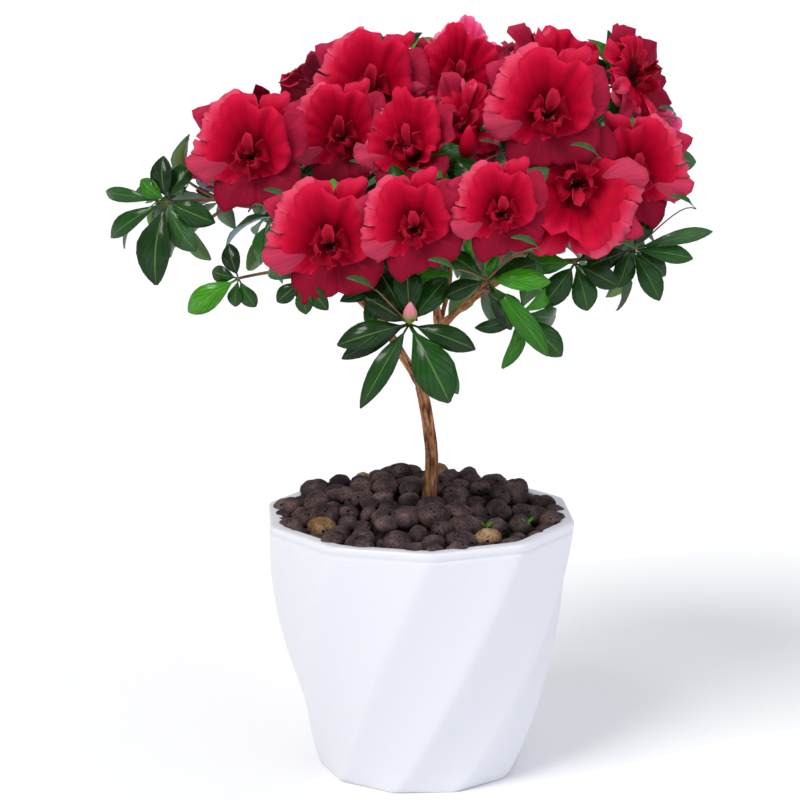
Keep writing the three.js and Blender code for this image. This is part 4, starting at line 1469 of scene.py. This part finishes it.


# %% [markdown]
# ### Petals
# An azalea's petal is a soft film of cells full of red sap. Light goes into it and
# comes back coloured, and its skin is velvety with hardly any gloss. The colour is
# nearly brown in the throat, partly its own colour and partly painted shade of the deep
# funnel. It is crimson over the blade, and brighter at the thin rim, partly its own colour
# and partly a painted highlight. The backs, which show where a rim rolls over, are paler
# and pinker.

# %% Petal paint
def petal_paint(name, throat, blade, rim, backs):
    """Petal colours by cell: three ramps for throat, blade and rim, and one for backs."""
    material, tree, shader = new_material(name, blade[0], 0.55, {
        "Subsurface Weight": 0.06, "Subsurface Scale": 0.8 * MM, "Specular IOR Level": 0.05,
    })
    uv = add_node(tree, "ShaderNodeUVMap", uv_map=UV_NAME).outputs[0]
    u, v, _ = add_node(tree, "ShaderNodeSeparateXYZ", {0: uv}).outputs
    # Within its cell, a place on the petal runs from 0 to 1 across it and along it.
    tiles = add_node(tree, "ShaderNodeVectorMath", {0: uv, 1: (PETAL_CELLS, 2, 1)}, operation="MULTIPLY")
    local = add_node(tree, "ShaderNodeVectorMath", {0: tiles.outputs[0]}, operation="FRACTION")
    along = add_node(tree, "ShaderNodeSeparateXYZ", {0: local.outputs[0]}).outputs["Y"]
    throat_tone, blade_tone, rim_tone, backs_tone = [
        add_node(tree, "ShaderNodeValToRGB", {0: u}, by_cell(colours), steps=True)
        for colours in (throat, blade, rim, backs)
    ]
    # Darker towards the throat: partly the petal's own colour, partly painted shade in the funnel.
    inner = add_node(tree, "ShaderNodeMapRange", {"Value": along, "From Min": 0.25, "From Max": 0.72},
                     interpolation_type="SMOOTHSTEP")
    # The bright rim, partly a painted highlight, is narrower on the rolled petals of the heart.
    start = add_node(tree, "ShaderNodeMapRange", {
        "Value": u, "From Min": SPOON / PETAL_CELLS - 0.001, "From Max": SPOON / PETAL_CELLS,
        "To Min": 0.74, "To Max": 0.88,
    })
    outer = add_node(tree, "ShaderNodeMapRange", {
        "Value": along, "From Min": start.outputs[0], "From Max": 0.98,
    }, interpolation_type="SMOOTHSTEP")
    colour = add_node(tree, "ShaderNodeMix", {
        0: inner.outputs[0], 6: throat_tone.outputs[0], 7: blade_tone.outputs[0],
    }, data_type="RGBA")
    colour = add_node(tree, "ShaderNodeMix", {
        0: outer.outputs[0], 6: colour.outputs[2], 7: rim_tone.outputs[0],
    }, data_type="RGBA")
    back = add_node(tree, "ShaderNodeMapRange", {
        "Value": v, "From Min": 0.499, "From Max": 0.501, "To Max": 0.85,
    })
    colour = add_node(tree, "ShaderNodeMix", {
        0: back.outputs[0], 6: colour.outputs[2], 7: backs_tone.outputs[0],
    }, data_type="RGBA")
    # Fine veins run out along the petal.
    grain = add_node(tree, "ShaderNodeVectorMath", {
        0: local.outputs[0], 1: (30, 2.5, 1),
    }, operation="MULTIPLY")
    veins = add_node(tree, "ShaderNodeTexNoise", {"Vector": grain.outputs[0], "Scale": 1.0, "Detail": 2.0})
    depth = add_node(tree, "ShaderNodeValToRGB", {0: veins.outputs[0]}, [
        (0.3, "#E9E9E9"), (0.55, "#FFFFFF"),
    ])
    colour = add_node(tree, "ShaderNodeMix", {0: 1.0, 6: colour.outputs[2], 7: depth.outputs[0]},
                      data_type="RGBA", blend_type="MULTIPLY")
    tree.links.new(colour.outputs[2], shader.inputs["Base Color"])
    relief = add_node(tree, "ShaderNodeBump", {
        "Height": veins.outputs[0], "Strength": 0.2, "Distance": 0.3 * MM,
    })
    tree.links.new(relief.outputs[0], shader.inputs["Normal"])
    return material


# One colour for each cell: plain, shaded lower, shaded side, cup, lit, lobe, spoon, heart,
# stamen. Lit is painted light, the two shaded cells are painted shade, and the lobe's pale pink
# is a painted highlight.
red_paint = petal_paint(
    "crimson azalea petal",
    ("#6C0018", "#660018", "#70041E", "#6C0014", "#8E001E", "#A00424", "#5C0014", "#8A001A", "#5A0812"),
    ("#9C022A", "#8A0226", "#9A1234", "#B20028", "#BC042C", "#CA183C", "#980422", "#AC0628", "#A05448"),
    ("#AE0A32", "#98062C", "#B8284A", "#CE163E", "#D6244C", "#E65070", "#C01A3C", "#CA2242", "#D8A888"),
    ("#A81E3E", "#88102C", "#C23A58", "#DE4262", "#DE4262", "#E65070", "#B01434", "#B81C38", "#B06860"),
)
pink_paint = petal_paint(
    "pink azalea petal",
    ("#C01E58", "#B41850", "#C42460", "#B81450", "#D02A68", "#D02A68", "#8C0C3C", "#C82060", "#A01848"),
    ("#F0407C", "#E02C6C", "#F0508A", "#F4407E", "#FC5890", "#FC6C9C", "#C02058", "#F04078", "#E0A0A0"),
    ("#FC70A0", "#F04C88", "#FF80AC", "#FF6C9E", "#FF8CB4", "#FFA0C0", "#F05088", "#FF80A8", "#F0C8B8"),
    ("#FF7CA8", "#F0609A", "#FF90B4", "#FF8CB2", "#FF98BC", "#FFA0C0", "#D84880", "#F870A0", "#E0A0A0"),
)
print("materials", red_paint.name, "and", pink_paint.name)


# %% Set the blooms
# Blooms with a spin in degrees, a shape, a size or a shift of their own.
SPINS = {"flowers_right_front": 180, "flowers_centre_front": 12, "flowers_top_right": -22,
         "flowers_right_upper": 75, "flowers_centre_right": -35, "flowers_top_centre": -8,
         "flowers_top_left": -14, "flowers_left": -8, "flowers_right": -6}
MIRRORED = FLOWER_KINDS  # the last shape is the first one as a mirror shows it
KIND_OF = {"flowers_centre_front": 1, "flowers_centre_right": 2, "flowers_top_right": 3,
           "flowers_right_upper": 2, "flowers_top_centre": 1, "flowers_right": MIRRORED}
SIZES = {"flowers_top_left": 0.94, "flowers_top_centre": 0.86, "flowers_top_right": 0.91,
         "flowers_right_upper": 0.94, "flowers_right_upper_front": 0.94, "flowers_right_front": 0.96,
         "flowers_right": 0.92, "flowers_left": 0.95, "flowers_left_inner": 0.94,
         "flowers_centre_front": 0.86, "flowers_front_left": 0.95, "flowers_front_centre": 0.86,
         "flowers_front_right": 0.93, "flowers_back_upper_centre": 0.62, "flowers_back_right": 0.76}
USUAL_SIZE = 1.02
SHIFTS = {"flowers_top_left": (3, 0, -4), "flowers_top_centre": (-4, 0, -4), "flowers_left": (0, 0, 2),
          "flowers_back_upper_centre": (4, 0, -1), "flowers_right": (-2, 0, -2)}  # in millimetres
BACK_PLAY = 15  # how much more freely the blooms behind are spun than those in front
flower_shapes = [flower_shape(n) for n in range(FLOWER_KINDS)]
twin = flower_shape(0)
twin.data.transform(Matrix.Scale(-1, 4, (1, 0, 0)))
twin.data.flip_normals()
flower_shapes.append(twin)
print("triangles in a flower:", [2 * len(f.data.polygons) for f in flower_shapes])


def bloom_turn(axis, spin):
    """The rotation that turns z to the bloom's axis and keeps its top up, then spins it."""
    up = Vector((0, 0, 1))
    x = up.cross(axis).normalized()
    y = axis.cross(x)
    return Matrix((x, y, axis)).transposed() @ Matrix.Rotation(math.radians(spin), 3, "Z")


def bloom_places(names):
    """Where the named blooms go. The dice run through all blooms, so none depends on the names."""
    dice = random.Random(17)
    found = []
    for bloom in blooms:
        play, kind = dice.uniform(-9, 9), dice.randrange(FLOWER_KINDS)
        if bloom["node"] in names:
            behind = bloom["place"].y > FRONT_LINE
            spin = SPINS.get(bloom["node"], 0) + (play * BACK_PLAY if behind else play)
            kind = kind if behind else KIND_OF.get(bloom["node"], 0)
            size = bloom["reach"] * SIZES.get(bloom["node"], USUAL_SIZE)
            place = bloom["place"] + Vector(SHIFTS.get(bloom["node"], (0, 0, 0))) * MM
            found.append((tuple(place), bloom_turn(bloom["axis"], spin), (size,) * 3, kind))
    return found


def set_blooms(name, names, paint, slot):
    """Sets the named blooms as one piece, from copies of the shapes that the tree can own."""
    shapes = [shape.copy() for shape in flower_shapes]
    for shape in shapes:
        shape.data = shape.data.copy()
    hand_over(scatter(name, shapes, bloom_places(names), paint), paint, slot, *names)


red_nodes = [b["node"] for b in blooms if b["node"] not in PINK_NODES]
front_red = [n for n in red_nodes if "back" not in n]
back_red = [n for n in red_nodes if "back" in n]
set_blooms("red_blossom_front", front_red, red_paint, "blossom_red")
set_blooms("red_blossom_back", back_red, red_paint, "blossom_red")
set_blooms("pink_blossom", list(PINK_NODES), pink_paint, "blossom_pink")


# %% [markdown]
# ### Buds
# A bud is wrapped tightly: its petals wind round each other like a furled umbrella, so
# the outline is a long drop with a few slanting folds. The pale one is still green at
# the foot, where the sepals hold it.

# %% Buds
BUD_ROWS, BUD_COLUMNS = 11, 13
BUD_SKIN = 0.03


def bud_shape():
    """A furled bud of unit length and width, its foot at the origin and its tip along z."""
    along = np.linspace(0, 1, BUD_ROWS)[:, None]
    angle = np.linspace(0, 2 * math.pi, BUD_COLUMNS)[None, :]
    swell = np.sin(math.pi * along ** 0.8) ** 0.62 * 0.5 * (1 - 0.25 * along ** 3)
    fold = 1 + 0.13 * along * np.sin(3 * angle + 4.5 * along)
    reach = np.maximum(swell, 0.05) * fold
    grid = np.stack([reach * np.cos(angle), reach * np.sin(angle), along + 0 * angle], axis=-1)
    return mesh_from("bud", [thin_solid(grid, BUD_SKIN, (CUP, 0), (CUP, 1), PETAL_CELLS)])


def set_buds(name, buds, paint, slot, owner):
    """Sets buds as one piece that stands for part of a CAD node."""
    places = [(tuple(Vector(place) * MM), Vector(axis).to_track_quat("Z", "Y").to_matrix(),
               (wide * MM, wide * MM, long * MM), 0) for place, axis, long, wide in buds]
    hand_over(scatter(name, [bud_shape()], places, paint), paint, slot, owner)


bud_paint = petal_paint("pale azalea bud, green foot", *[
    (tone,) * PETAL_CELLS for tone in ("#7C8C44", "#DE8294", "#F0A8B0", "#DE8294")
])
set_buds("pale_buds", PALE_BUDS, bud_paint, "blossom_pink", "leaves_front_low")
set_buds("red_buds", RED_BUDS, red_paint, "blossom_red", "flowers_centre_front")


# %% [markdown]
# ### Loose fibres
# A few brown coconut fibres from the compost stick out between the pebbles and the rim.

# %% Fibres
FIBRE_SPOTS = ((-64, -14), (-61, -24), (-66, -4), (-20, 62), (-28, 60))  # in millimetres
FIBRES_PER_SPOT = 3
FIBRE_POINTS = 7
FIBRE_STEP = 1.6 * MM
FIBRE_RADIUS = 0.25 * MM
FIBRE_BEND = 0.5 * MM  # how far each step may stray from the one before
fibre_limit = rim_reach - LIP_WIDTH - 4 * MM
fibre_dice = random.Random(8)
fibre_points, fibre_edges = [], []
for x, y in FIBRE_SPOTS:
    for _ in range(FIBRES_PER_SPOT):
        place = Vector((x * MM, y * MM, rim_height - 5 * MM))
        way = Vector((fibre_dice.uniform(-1, 1), fibre_dice.uniform(-1, 1), 0.3)).normalized() * FIBRE_STEP
        for step in range(FIBRE_POINTS):
            fibre_points.append(tuple(place))
            if step:
                fibre_edges.append((len(fibre_points) - 2, len(fibre_points) - 1))
            place = place + way
            place.z = min(place.z, rim_height + 0.5 * MM)
            way += Vector([fibre_dice.uniform(-1, 1) * FIBRE_BEND for _ in range(3)])
            # A fibre that would run into the wall turns back.
            if math.hypot(place.x + way.x, place.y + way.y) > fibre_limit:
                way.x, way.y = -0.5 * way.x, -0.5 * way.y
fibre_mesh = bpy.data.meshes.new("fibre lines")
fibre_mesh.from_pydata(fibre_points, fibre_edges, [])
set_attribute(fibre_mesh, "thickness", "FLOAT", [FIBRE_RADIUS] * len(fibre_points))
fibre_mesh = run_tree(bpy.data.objects.new("fibre lines", fibre_mesh), thicken_lines,
                      {"Sides": 4, "Material": twig_paint})
hand_over(bpy.data.objects.new("fibres", fibre_mesh), twig_paint, "bark")
